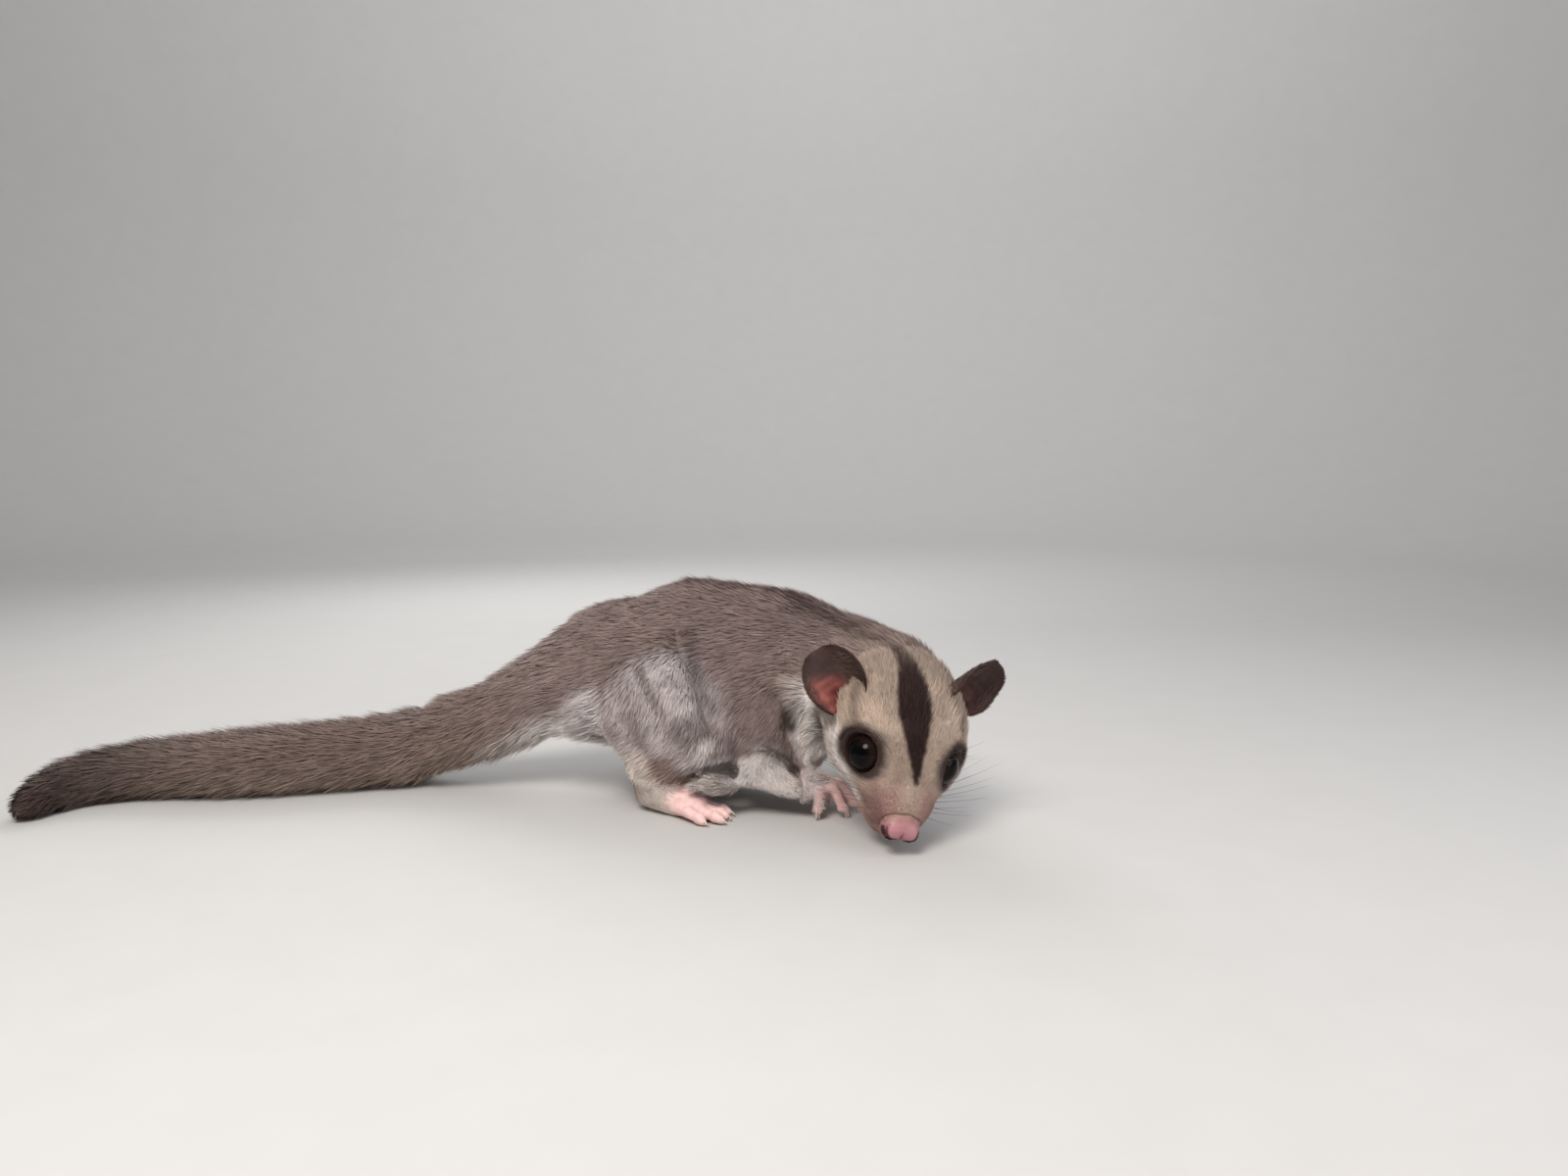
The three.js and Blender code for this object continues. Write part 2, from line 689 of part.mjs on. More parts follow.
function makeTail() {
  const reach = (from, to) => (grow) => block([to - grow, -60, -10], [from + grow, 60, 80]);
  const root = skinOf(bodyField, [-106, -16, -4], [-50, 34, 60], tailCell);
  const tube = taperedTube(tailStations, tailSides, 22);
  take("tail_end", tube, reach(tailCuts.end, -260));
  take("tail_mid", tube, reach(tailCuts.mid, tailCuts.end));
  take("tail_root", root, reach(tailCuts.root, tailCuts.mid));
}

makeHead();
makeNose();
const earClearance = gap + headCell * slack * 2;
const headClear = skinOf((p) => bodyField(p) - earClearance, [-12, -72, -6], [60, 0, 64], headCell);
makeEar("R", 1, headClear);
makeEar("L", -1, headClear);

sideNames.forEach(makeHand);
sideNames.forEach(makeFoot);
sideNames.forEach(makeHindLeg);
sideNames.forEach(makeForeLeg);
sideNames.forEach(makeMembrane);
makeTail();

const trunkSkin = skinOf(bodyField, [-96, -44, -6], [60, 52, 70], trunkCell);
const neckRegion = (grow) => eggSolid(onHead(0, 9, 0), [41, 41, 41].map((r) => r + grow), 18);
take("neck", trunkSkin, neckRegion);
solids.set("torso", largestOf(trunkSkin.subtract(taken)));

// Finishes: colour and roughness of each kind of surface
const finishes = {
  back: { color: "#8b8079", roughness: 0.95 },
  face: { color: "#c0aa94", roughness: 0.95 },
  tail: { color: "#6f6059", roughness: 0.95 },
  fringe: { color: "#c9bfb8", roughness: 0.95 },
  skin: { color: "#cc9a93", roughness: 0.6 },
  ear: { color: "#54423d", roughness: 0.7 },
  eye: { color: "#0d0a0a", roughness: 0.08 },
};

function finishOf(name) {
  if (name === "head") return "face";
  if (name.startsWith("tail")) return "tail";
  if (name.startsWith("glide")) return "fringe";
  if (name === "nose" || name.startsWith("hand") || name.startsWith("hind_foot")) return "skin";
  if (name.startsWith("ear") || name.startsWith("eye")) return name.slice(0, 3);
  return "back";
}

const group = new THREE.Group();
for (const [name, solid] of solids) {
  const material = new THREE.MeshStandardMaterial({ ...finishes[finishOf(name)], metalness: 0 });
  const mesh = new THREE.Mesh(geometryOf(solid), material);
  mesh.name = name;
  group.add(mesh);
}

// The origin is on the floor, under the middle of the whole animal
const middle = new THREE.Box3().setFromObject(group).getCenter(point(0, 0, 0));
group.position.set(-middle.x, -middle.y, -floorLevel);

export default group;
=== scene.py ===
# A sugar glider at life size, crouched on four feet with its nose down.
# The animal's own frame is in millimetres: +X from tail to head, -Y its right side, floor at z = 0.
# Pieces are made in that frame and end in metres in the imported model's frame.
import math

import bmesh
import bpy
import numpy as np
from mathutils import Matrix, Vector, kdtree
from mathutils.bvhtree import BVHTree


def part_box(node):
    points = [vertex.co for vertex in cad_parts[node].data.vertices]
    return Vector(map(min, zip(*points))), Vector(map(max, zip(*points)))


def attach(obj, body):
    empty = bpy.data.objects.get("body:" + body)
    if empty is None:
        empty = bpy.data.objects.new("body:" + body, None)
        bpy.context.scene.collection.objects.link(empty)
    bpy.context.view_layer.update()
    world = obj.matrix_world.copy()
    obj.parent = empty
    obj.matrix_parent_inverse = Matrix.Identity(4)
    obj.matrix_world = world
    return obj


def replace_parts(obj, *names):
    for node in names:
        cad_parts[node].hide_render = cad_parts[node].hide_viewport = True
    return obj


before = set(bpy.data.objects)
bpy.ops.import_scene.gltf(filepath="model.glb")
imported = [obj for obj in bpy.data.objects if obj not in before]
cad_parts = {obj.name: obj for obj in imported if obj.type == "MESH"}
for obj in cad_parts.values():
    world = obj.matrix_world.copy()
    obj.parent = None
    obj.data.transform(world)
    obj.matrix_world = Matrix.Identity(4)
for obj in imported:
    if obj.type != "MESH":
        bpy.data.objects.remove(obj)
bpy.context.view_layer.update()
random = np.random.default_rng(11)
mm = 0.001
mergeDistance = 1e-6


def unit(v):
    v = np.asarray(v, float)
    return v / np.maximum(np.linalg.norm(v, axis=-1, keepdims=True), 1e-9)


def norms(rows):
    return np.linalg.norm(rows, axis=1)


def smoothStep(x, low, high):
    t = np.clip((np.asarray(x, float) - low) / (high - low), 0, 1)
    return t * t * (3 - 2 * t)


def fade(x, low, high):
    return 1 - smoothStep(x, low, high)


def linear(hexColour):
    s = np.array([int(hexColour[i : i + 2], 16) / 255 for i in (1, 3, 5)])
    return np.where(s <= 0.04045, s / 12.92, ((s + 0.055) / 1.055) ** 2.4)


# The head's frame: x to its right, y to the nose, z to the crown
head = {
    "centre": (29, -36.6, 24.6),
    "forward": (-0.003, -0.74, -0.673),
    "rightHint": (-0.955, -0.21, 0.21),
    "scale": 1.06,
    "eye": (8.1, 5.2, 0.8),
    "gaze": (0.84, 0.42, 0.34),
    "eyeRadius": 5.4,
    "nose": (0, 21, -3.6),
}
headForward = unit(head["forward"])
headUp = unit(np.cross(head["rightHint"], headForward))
headRight = np.cross(headForward, headUp)
headAxes = np.array([headRight, headForward, headUp])
headCentre = np.array(head["centre"], float)


def onHead(x, y, z):
    return headCentre + head["scale"] * (np.array([x, y, z], float) @ headAxes)


def headwards(x, y, z):
    return unit(np.array([x, y, z], float) @ headAxes)


def headLocal(points):
    return (points - headCentre) @ headAxes.T / head["scale"]


def mirrored(place, sign):
    return np.array(place) * (sign, 1, 1)


eyeLow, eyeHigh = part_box("eye_R")
shift = np.array((eyeLow + eyeHigh) / 2) / mm - onHead(*head["eye"])


def toWorld(points):
    return (np.asarray(points, float) + shift) * mm


def newObject(name, data):
    obj = bpy.data.objects.new(name, data)
    bpy.context.scene.collection.objects.link(obj)
    return obj


# Camera, at the photograph's place: 325 in front of the animal and 101 up, 7.5 degrees down
view = {"place": (0, -325, 101), "pitch": 7.5, "focal": 1213 / 1600 * 36}
cameraData = bpy.data.cameras.new("camera")
cameraData.lens = view["focal"]
cameraData.clip_start = 0.02
camera = newObject("camera", cameraData)
camera.location = toWorld(view["place"])
camera.rotation_euler = (math.radians(90 - view["pitch"]), 0, 0)
bpy.context.scene.camera = camera


def meshFromArrays(name, places, corners, size=3):
    mesh = bpy.data.meshes.new(name)
    count = len(corners) // size
    mesh.vertices.add(len(places))
    mesh.vertices.foreach_set("co", toWorld(places).astype(np.float32).ravel())
    mesh.loops.add(len(corners))
    mesh.loops.foreach_set("vertex_index", corners.astype(np.int32))
    mesh.polygons.add(count)
    mesh.polygons.foreach_set("loop_start", np.arange(0, len(corners), size, dtype=np.int32))
    mesh.update(calc_edges=True)
    mesh.polygons.foreach_set("use_smooth", np.ones(count, bool))
    return mesh


def readArray(items, key, width=3, kind=float):
    values = np.zeros(len(items) * width, kind)
    items.foreach_get(key, values)
    return values.reshape(-1, width)


def verticesOf(mesh):
    return readArray(mesh.vertices, "co") / mm - shift


def normalsOf(mesh):
    return readArray(mesh.vertices, "normal")


def edgesOf(mesh):
    return readArray(mesh.edges, "vertices", 2, np.int32)


def trianglesOf(mesh):
    mesh.calc_loop_triangles()
    return [readArray(mesh.loop_triangles, key, 3, np.int32) for key in ("vertices", "loops")]


def relaxed(values, edges, rounds, share=0.5):
    degree = np.maximum(np.bincount(edges.ravel(), minlength=len(values)), 1)[:, None]
    for _ in range(rounds):
        total = np.empty_like(values)
        for k in range(values.shape[1]):
            total[:, k] = np.bincount(edges[:, 0], values[edges[:, 1], k], len(values))
            total[:, k] += np.bincount(edges[:, 1], values[edges[:, 0], k], len(values))
        values = values + share * (total / degree - values)
    return values


def moveTo(mesh, places):
    mesh.vertices.foreach_set("co", toWorld(places).astype(np.float32).ravel())
    mesh.update()


def smoothMesh(name, bm):
    mesh = bpy.data.meshes.new(name)
    bm.to_mesh(mesh)
    bm.free()
    mesh.polygons.foreach_set("use_smooth", np.ones(len(mesh.polygons), bool))
    return mesh


def dressed(piece, material):
    piece.data.materials.append(material)
    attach(piece, "root")
    return piece


# A closed shape turned round the z axis from a profile of (x, z)
def spun(profile, steps, scale=1):
    bm = bmesh.new()
    spots = [bm.verts.new((x * scale, 0, z * scale)) for x, z in profile]
    line = [bm.edges.new(pair) for pair in zip(spots[:-1], spots[1:])]
    bmesh.ops.spin(bm, geom=spots + line, cent=(0, 0, 0), axis=(0, 0, 1), angle=2 * math.pi, steps=steps,
                   use_merge=True)
    bmesh.ops.remove_doubles(bm, verts=bm.verts, dist=mergeDistance)
    bmesh.ops.recalc_face_normals(bm, faces=bm.faces)
    return bm


def cleanCopy(node):
    bm = bmesh.new()
    bm.from_mesh(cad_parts[node].data)
    bmesh.ops.remove_doubles(bm, verts=bm.verts, dist=mergeDistance)
    return bm


def storeColour(mesh, name, rgb):
    layer = mesh.color_attributes.new(name, "FLOAT_COLOR", "POINT")
    layer.data.foreach_set("color", np.column_stack([rgb, np.ones(len(rgb))]).astype(np.float32).ravel())


# How near points lie to a line of places, and how far along it
def alongPath(points, path):
    path = np.asarray(path, float)
    best = np.full(len(points), 1e9)
    heading = np.zeros((len(points), 3))
    radius = np.zeros(len(points))
    for a, b in zip(path[:-1], path[1:]):
        d = b[:3] - a[:3]
        t = np.clip((points - a[:3]) @ d / (d @ d), 0, 1)
        away = norms(points - a[:3] - t[:, None] * d)
        near = away < best
        best[near] = away[near]
        heading[near] = unit(d)
        if path.shape[1] > 3:
            radius[near] = (a[3] + (b[3] - a[3]) * t)[near]
    return best, heading, radius


# Value noise made of a few waves, for clumps and mottling in the coat
def waves(points, size, seed, count=5):
    draw = np.random.default_rng(seed)
    total = np.zeros(len(points))
    for _ in range(count):
        direction = unit(draw.normal(size=3)) * (2 * math.pi / size) * draw.uniform(0.6, 1.5)
        total += np.sin(points @ direction + draw.uniform(0, 6.3))
    return total / count


# Middle lines of the limbs and tail, from the trunk outwards: x, y, z and radius
limbPaths = {
    "tail": [(-46, 6, 33, 20), (-66, 6, 28, 13), (-84, 8, 18.5, 11.4), (-108, 9, 10.8, 11.2),
             (-150, -1, 9, 9.4), (-180, -4, 7.4, 7.8), (-193, -11, 6.1, 6.6), (-198, -21, 4.3, 4.6),
             (-199, -27, 2.4, 1.4)],
    "hind_leg_R": [(-31, -11.5, 34, 19), (-21, -19.5, 20, 9), (-35.5, -15, 10, 4.9), (-35.5, -14.5, 4, 4.5)],
    "hind_leg_L": [(-33, 21, 33, 19), (-22, 28, 19, 9), (-38, 25, 10, 4.9), (-38, 24.5, 4, 4.5)],
    "fore_leg_R": [(0, -14.5, 30, 12), (-8.5, -21, 11.5, 4.4), (3, -22.5, 7.4, 3.1)],
    "fore_leg_L": [(10, 12, 31, 12), (11, 21, 13, 4.6), (24, 13.5, 7.4, 3.1)],
    "hind_foot_R": [(-35.5, -14.5, 6, 4.3), (-22, -24, 3, 3), (-13, -30, 1, 2)],
    "hind_foot_L": [(-38, 24.5, 6, 4.3), (-24, 28, 3, 3), (-15, 30, 1, 2)],
    "hand_R": [(3, -22.5, 8, 3), (13, -21, 6, 3), (16, -20, 1, 2)],
    "hand_L": [(24, 13.5, 8, 3), (34, 11, 6, 3), (37, 10, 1, 2)],
    "glide_membrane_R": [(-12, -21.5, 9, 3), (-27, -24, 12.5, 3), (-35, -19, 11, 2.4)],
    "glide_membrane_L": [(6, 23, 10, 3), (-26, 33, 12, 3), (-37, 29, 11, 2.4)],
}
fleshNodes = ["head", "neck", "torso", "tail_root", "tail_mid", "tail_end"]
fleshNodes += sorted(n for n in limbPaths if n != "tail")
# For each node: coat's depth, hair length, hair width, hairs on a square millimetre
coat = {
    "head": (1.3, 2.7, 0.17, 30),
    "neck": (2.7, 4.6, 0.23, 24),
    "torso": (3.0, 5.4, 0.27, 19),
    "tail_root": (3.6, 6.8, 0.3, 14),
    "tail_mid": (4.4, 8.8, 0.32, 12),
    "tail_end": (3.6, 8.0, 0.32, 12),
    "hind_leg": (2.3, 4.2, 0.24, 21),
    "fore_leg": (1.6, 2.7, 0.18, 28),
    "glide_membrane": (1.2, 2.9, 0.2, 20),
    "hind_foot": (0.9, 1.3, 0.13, 12),
    "hand": (0.8, 1.1, 0.13, 12),
}
# Places with longer hair: a line, how near and how far it reaches, and how much longer
shaggyPlaces = [
    ([(-52, -9, 25), (-54, -8.7, 18)], 3, 9, 0.45),
    ([(4.4, -26.6, 36), (4.5, -26.2, 31)], 1, 3, 0.9),
    ([(-11.2, -24.4, 11.6), (-6.4, -23.9, 12.2), (-1.3, -23.7, 10.8), (2.5, -25.2, 8.3)], 4, 7, -0.35),
]
# Folds of loose skin on the flank: a line, its half width and depth, negative where the skin swells
folds = [
    ([(-28, -13, 49.5), (-24.3, -20.6, 40.3), (-21.4, -22.5, 32.9), (-19.2, -23.6, 26), (-18.4, -21, 14)],
     1.8, 1.9),
    ([(-38.5, -21, 40), (-36, -23.2, 34.4), (-33.5, -24.4, 29.5)], 1.5, 1.5),
    ([(-28, -23.2, 38), (-25.6, -24.4, 30), (-24.2, -25.4, 22)], 3.2, -1.1),
    ([(-16, -23.6, 36), (-14.5, -24.4, 26)], 3.6, -0.8),
    ([(-10, -23.6, 42), (-8.5, -24.6, 34), (-9.5, -24.4, 26)], 1.4, 0.8),
    ([(-54, -9, 32), (-46, -15, 27)], 1.3, 0.8),
    ([(-12.5, -23.6, 15.6), (-11, -24, 17.6), (-6, -23.6, 18.6), (-2.6, -22.7, 17.5), (0.3, -22.1, 15.5),
      (3.4, -21.1, 12.6)], 1.0, 1.3),
    ([(1.2, -25.9, 30), (0.8, -25.3, 25), (4, -23, 16)], 1.6, 1.2),
]
skinShape = {"swell": 0.28, "voxel": 0.8, "smoothing": 3, "blend": 14, "fineVoxel": 0.36, "fineSmoothing": 3,
             "fineSwell": 0.18, "floorGap": 0.05, "bareDepth": 0.1, "bareHair": 1.5}

# Hands and feet. Digits are (x, y) of each tip from the wrist or heel: forward, and to the animal's outside
stances = {
    "hand_R": {"at": (3, -22.5), "yaw": 12, "sign": 1},
    "hand_L": {"at": (24, 13.5), "yaw": -14, "sign": -1},
    "hind_foot_R": {"at": (-35.5, -14.5), "yaw": -33, "sign": 1},
    "hind_foot_L": {"at": (-38, 24.5), "yaw": 14, "sign": -1},
}
fingers = {
    "tips": [(5.4, 2.8), (12.6, 2.8), (17, -0.6), (16.4, -4.4), (10.4, -7.4)],
    "radii": (1.62, 1.42, 1.3, 0.936), "claw": 0.62,
}
toes = {
    "tips": [(20, 4.4), (23.3, 1), (22.4, -2.4), (21, -5.4)],
    "hallux": (11.5, -8.6),
    "radii": (1.9, 1.62, 1.5, 1.08), "claw": 0.55, "clawLength": 3.0,
}


def onLimb(node, x, y, z):
    stance = stances[node]
    yaw = math.radians(stance["yaw"])
    y = -stance["sign"] * y
    x0, y0 = stance["at"]
    c, s = math.cos(yaw), math.sin(yaw)
    return np.array([x0 + x * c - y * s, y0 + x * s + y * c, z])


# A digit as places along its bones, from the palm or sole out to where the claw leaves it
def digitLine(node, start, x, y, heights):
    spots = [(start, y * 0.5), ((start + x) / 2, y * 0.75), (start + (x - start) * 0.88, y * 0.94), (x, y)]
    return [onLimb(node, *spot, z) for spot, z in zip(spots, heights)]


def digitsOf(node):
    if node.startswith("hand"):
        return [digitLine(node, 6.5, x, y, (8.2, 9 - abs(y) * 0.25, 3.1, 2.6)) for x, y in fingers["tips"]]
    lines = [digitLine(node, 9.5, x, y, (3, 2.6, 1.9, 1.5)) for x, y in toes["tips"]]
    x, y = toes["hallux"]
    hallux = [(5, -1, 3.2), ((5 + x) / 2, (y - 1) / 2, 2.4), (x - 0.7, y + 0.9, 1.9), (x, y, 1.6)]
    return lines + [[onLimb(node, *spot) for spot in hallux]]


def coatRow(node):
    return coat[node] if node in coat else coat[node[:-2]]


def voxelMesh(obj, size):
    remesh = obj.modifiers.new("voxels", "REMESH")
    remesh.mode = "VOXEL"
    remesh.voxel_size = size * mm
    made = bpy.data.meshes.new_from_object(obj.evaluated_get(bpy.context.evaluated_depsgraph_get()))
    obj.modifiers.clear()
    return made


def makeFlesh():
    joined = bmesh.new()
    owners = []
    for index, name in enumerate(fleshNodes):
        part = cleanCopy(name)
        part.normal_update()
        for v in part.verts:
            v.co += v.normal * skinShape["swell"] * mm
        mesh = smoothMesh(name + "Copy", part)
        owners += [index] * len(mesh.polygons)
        joined.from_mesh(mesh)
    tree = BVHTree.FromBMesh(joined)
    return newObject("flesh", smoothMesh("flesh", joined)), tree, owners


# Depth of the coat, and length, width and number of its hairs, at places on the animal's outline
def coatFields(points, weights):
    table = np.array([coatRow(n) for n in fleshNodes])
    depth, length, width, number = (weights @ table).T
    local = headLocal(points)
    onFace = weights[:, fleshNodes.index("head")]
    fromNose = norms(local - head["nose"])
    faceDepth = 0.15 + 1.9 * smoothStep(fromNose, 5, 34)
    faceLength = 0.8 + 3.4 * smoothStep(fromNose, 4, 36)
    depth = depth + onFace * (faceDepth - depth)
    length = length + onFace * (faceLength - length)
    width = width + onFace * (0.11 + 0.1 * smoothStep(fromNose, 5, 36) - width)
    number = number + onFace * (44 - 20 * smoothStep(fromNose, 8, 36) - number)
    for sign in (1, -1):
        near = fade(norms(local - mirrored(head["eye"], sign)), 7, 10.5)
        depth = depth * (1 - 0.8 * near)
        length = length * (1 - 0.55 * near)
        width = width * (1 - 0.3 * near)
    for path, near, far, more in shaggyPlaces:
        length = length * (1 + more * fade(alongPath(points, path)[0], near, far))
    # A limb's coat is never more than two fifths of what is there
    for name, path in limbPaths.items():
        mine = [i for i, n in enumerate(fleshNodes) if n == name or n.startswith("tail") and name == "tail"]
        on = weights[:, mine].sum(1)
        _, _, radius = alongPath(points, path)
        most = 0.42 * np.maximum(radius, 0.5)
        depth = np.where(on > 0.3, np.minimum(depth, most), depth)
        length = np.where(on > 0.3, np.minimum(length, 2.4 * most + 0.4), length)
    return depth, length, width, number


# The lie of the coat: back from the nose over the head, back along the trunk and tail, down the limbs
def lieOfCoat(points, normals, weights, edges):
    noseTip = onHead(*head["nose"])
    flow = np.zeros_like(points)
    backwards = unit(points - noseTip)
    neckward = unit(unit(np.array([-1, 0.25, 0.0])) + 0.6 * backwards)
    trunkward = unit(np.array([-1.0, 0.08, -0.3]))
    downwards = {"hind_leg": (-0.9, 0, -0.5), "fore_leg": (-0.5, 0, -0.6)}
    for index, name in enumerate(fleshNodes):
        if name == "head":
            target = backwards
        elif name == "neck":
            target = neckward
        elif name == "torso":
            target = trunkward
        elif name.startswith("tail"):
            target = alongPath(points, limbPaths["tail"])[1]
        else:
            target = unit(alongPath(points, limbPaths[name])[1]
                          + np.array(downwards.get(name[:8], (0, 0, 0))))
        flow += weights[:, index : index + 1] * target
    flow = relaxed(flow, edges, 10)
    flow -= normals * (flow * normals).sum(1, keepdims=True)
    flow = relaxed(unit(flow), edges, 14)
    flow -= normals * (flow * normals).sum(1, keepdims=True)
    return unit(flow)


# A hand or foot at a finer grain: the outline's own shape with knuckles and pads built up on its digits
def fineShell(node):
    bm = cleanCopy(node)
    size = fingers if node.startswith("hand") else toes
    for line in digitsOf(node):
        for spot, radius in zip(line, size["radii"]):
            place = Matrix.Translation(toWorld(spot))
            bmesh.ops.create_icosphere(bm, subdivisions=2, radius=radius * mm, matrix=place)
    shell = newObject("fine", smoothMesh("fine", bm))
    fine = voxelMesh(shell, skinShape["fineVoxel"])
    bpy.data.objects.remove(shell)
    places = relaxed(verticesOf(fine), edgesOf(fine), skinShape["fineSmoothing"])
    places = places + normalsOf(fine) * skinShape["fineSwell"]
    places[:, 2] = np.maximum(places[:, 2], skinShape["floorGap"])
    moveTo(fine, places)
    return fine


def makeSkin():
    flesh, tree, owners = makeFlesh()
    outer = voxelMesh(flesh, skinShape["voxel"])
    places, edges = verticesOf(outer), edgesOf(outer)
    places = relaxed(places, edges, skinShape["smoothing"])
    moveTo(outer, places)
    weights = np.zeros((len(places), len(fleshNodes)))
    for i, p in enumerate(toWorld(places)):
        weights[i, owners[tree.find_nearest(Vector(p))[2]]] = 1
    weights = relaxed(weights, edges, skinShape["blend"])
    normals = unit(relaxed(normalsOf(outer), edges, 3))
    depth = relaxed(coatFields(places, weights)[0][:, None], edges, 4)
    flesh.data = outer
    moveTo(outer, places - normals * depth)
    body = voxelMesh(flesh, skinShape["voxel"])
    # smoothed, then partly undone so that the form doesn't shrink
    smooth = relaxed(verticesOf(body), edgesOf(body), skinShape["smoothing"])
    moveTo(body, relaxed(smooth, edgesOf(body), 3, -0.35))
    joined = bmesh.new()
    joined.from_mesh(body)
    fineNodes = [-1] * len(body.vertices)
    for node in stances:
        fine = fineShell(node)
        joined.from_mesh(fine)
        fineNodes += [fleshNodes.index(node)] * len(fine.vertices)
    fineNodes = np.array(fineNodes)
    inner = smoothMesh("skin", joined)
    # each corner of the skin takes the regions of the outline's nearest corner
    near = kdtree.KDTree(len(places))
    for i, v in enumerate(outer.vertices):
        near.insert(v.co, i)
    near.balance()
    nearest = np.array([near.find(v.co)[1] for v in inner.vertices])
    bpy.data.objects.remove(flesh)
    weights, depth = relaxed(weights[nearest], edgesOf(inner), 3), depth[nearest, 0]
    depth[fineNodes >= 0] = skinShape["bareDepth"]
    return newObject("skin", inner), weights, depth, fineNodes


skin, skinWeights, skinDepth, fineNodes = makeSkin()
print("skin", len(skin.data.polygons), "faces", flush=True)

# Markings. A stroke is a line of places with a width, each in the animal's frame.
markings = {
    "back": "#85726d",
    "flank": "#8c7975",
    "belly": "#efe7e4",
    "crownFur": "#9c8b7e",
    "face": "#bba696",
    "cheek": "#cabdb6",
    "cheekWhite": "#f4ece8",
    "muzzle": "#ad877f",
    "muzzleSide": "#93706a",
    "stripe": "#33221e",
    "eyeRing": "#3d2c28",
    "spine": "#5a4a42",
    "tail": "#7a6760",
    "tailUnder": "#9b887b",
    "tailTip": "#483a35",
    "thigh": "#cfc6c5",
    "heel": "#d6c9bf",
    "shinPatch": "#84675a",
    "arm": "#d3cac7",
    "membrane": "#d6cdc8",
    # painted shade, for the creases of the skin over the forearm and under the throat
    "fold": "#4a3d37",
    "undercoat": "#665651",
    "skinPink": "#e6c1bd",
    "fingerPink": "#e2b9b6",
    # the lips' colour, with painted shade of the mouth's groove
    "lips": "#7e5450",
}
# the crown stripe on the head: how far along, its middle and half its width
stripe = np.array([
    (-24, 12, 1.0), (-20, 9, 1.4), (-16, 5.4, 1.7), (-12, 3.4, 2.3), (-8, 2.2, 3.4), (-4, 1.3, 4.1),
    (0, 0.9, 4.0), (3, 0.5, 3.3), (6, 0.0, 2.4), (9, -0.4, 1.7), (12, -0.8, 1.0), (14.5, -1.1, 0.3),
])
spineLine = [(21, -29, 50), (12, -16, 54), (2, -6, 57), (-10, 0, 60.5), (-24, 4, 61), (-40, 6, 57),
             (-52, 6, 50), (-66, 6, 42)]
strokes = [
    # path, half width, softness, colour, strength
    ([(-30.5, -22.4, 38.1), (-27, -23.4, 32), (-24.5, -23.8, 28)], 3.5, 6, "thigh", 0.55),
    ([(-52, -9, 24), (-53.4, -8.7, 19)], 6, 5, "thigh", 0.95),
    # painted shade along the folds and a crease of the flank's skin
    ([(-27, -15, 48.5), (-24.3, -20.6, 40.3), (-21.4, -22.5, 32.9), (-19.6, -23.5, 27.7)], 0.8, 2.4, "fold",
     0.6),
    ([(-38, -21.4, 38.1), (-36, -23.2, 34.4), (-34, -24.2, 30.7)], 0.5, 1.8, "fold", 0.45),
    ([(-26.5, -25, 23.5), (-21.5, -25.2, 22)], 2.4, 3.4, "undercoat", 0.7),
    ([(-21.6, -25.4, 15.5), (-20.4, -25.6, 19.5)], 1.7, 1.3, "membrane", 1.0),
    ([(-17.2, -12.6, 10.4), (-13.4, -10.3, 7.8)], 2.2, 1.8, "membrane", 0.9),
    ([(-39.2, -18.5, 12), (-39, -17, 5)], 3.8, 2.6, "heel", 0.95),
    ([(-33, -21.7, 12.5), (-26, -18.9, 9)], 2.2, 3, "shinPatch", 0.75),
    # painted shade in the crease over the right forearm
    ([(-12.5, -23.6, 15.6), (-11, -24, 17.3), (-6, -23.6, 18.3), (-2.6, -22.7, 17.2), (0.3, -22.1, 15.2),
      (3.4, -21.1, 12.4)], 0.8, 0.9, "fold", 0.95),
    ([(4.4, -26.6, 36), (4.5, -26.2, 31), (5.3, -25, 24.5), (8.3, -20, 15)], 2.5, 1.1, "cheekWhite", 1.0),
    # painted shade in the groove between the head and the shoulder, in the stripe's dark colour
    ([(8.0, -26.4, 30), (8.6, -25.4, 25.9), (9.8, -23.4, 21)], 0.8, 1.0, "stripe", 0.85),
    ([(1.3, -25.9, 29.5), (0.8, -25.3, 25)], 1.2, 1.7, "stripe", 0.85),
    # painted shade in the gap between the forearm and the throat
    ([(7.5, -24, 12), (10.5, -21.5, 9.5)], 0.8, 1.8, "fold", 0.7),
    ([onHead(17, 1.1, -1.2), onHead(15.2, 5.9, -4.2), onHead(11.5, 11, -8)], 2.6, 2.4, "cheekWhite", 0.75),
]
# on the head, for both sides: the mouth, and the dark line from the eye back to the ear
mouthLine = [(0, 20.5, -7.5), (3.4, 18, -8.2), (6.4, 12, -8.8), (8.6, 7, -8.4)]
browLine = [(14.0, -8, 8.5), (13.6, -1, 6), (11.8, 3, 5)]
# the pale roll of the right forearm, with its radius
armRoll = [(-11.2, -24.4, 11.6, 4.9), (-6.4, -23.9, 12.2, 4.6), (-1.3, -23.7, 10.8, 3.8),
           (2.5, -25.2, 8.3, 3.2), (8, -23.7, 6, 3.4)]


def tinted(colour, hexColour, mask):
    return colour + np.clip(mask, 0, 1)[:, None] * (linear(hexColour) - colour)


def mixed(colour, name, mask):
    return tinted(colour, markings[name], mask)


# How far places are from an eye's line of sight, and how far out along it
def eyeRing(local, sign):
    gaze = unit(mirrored(head["gaze"], sign))
    away = local - mirrored(head["eye"], sign)
    out = away @ gaze
    return norms(away - out[:, None] * gaze) * head["scale"], out


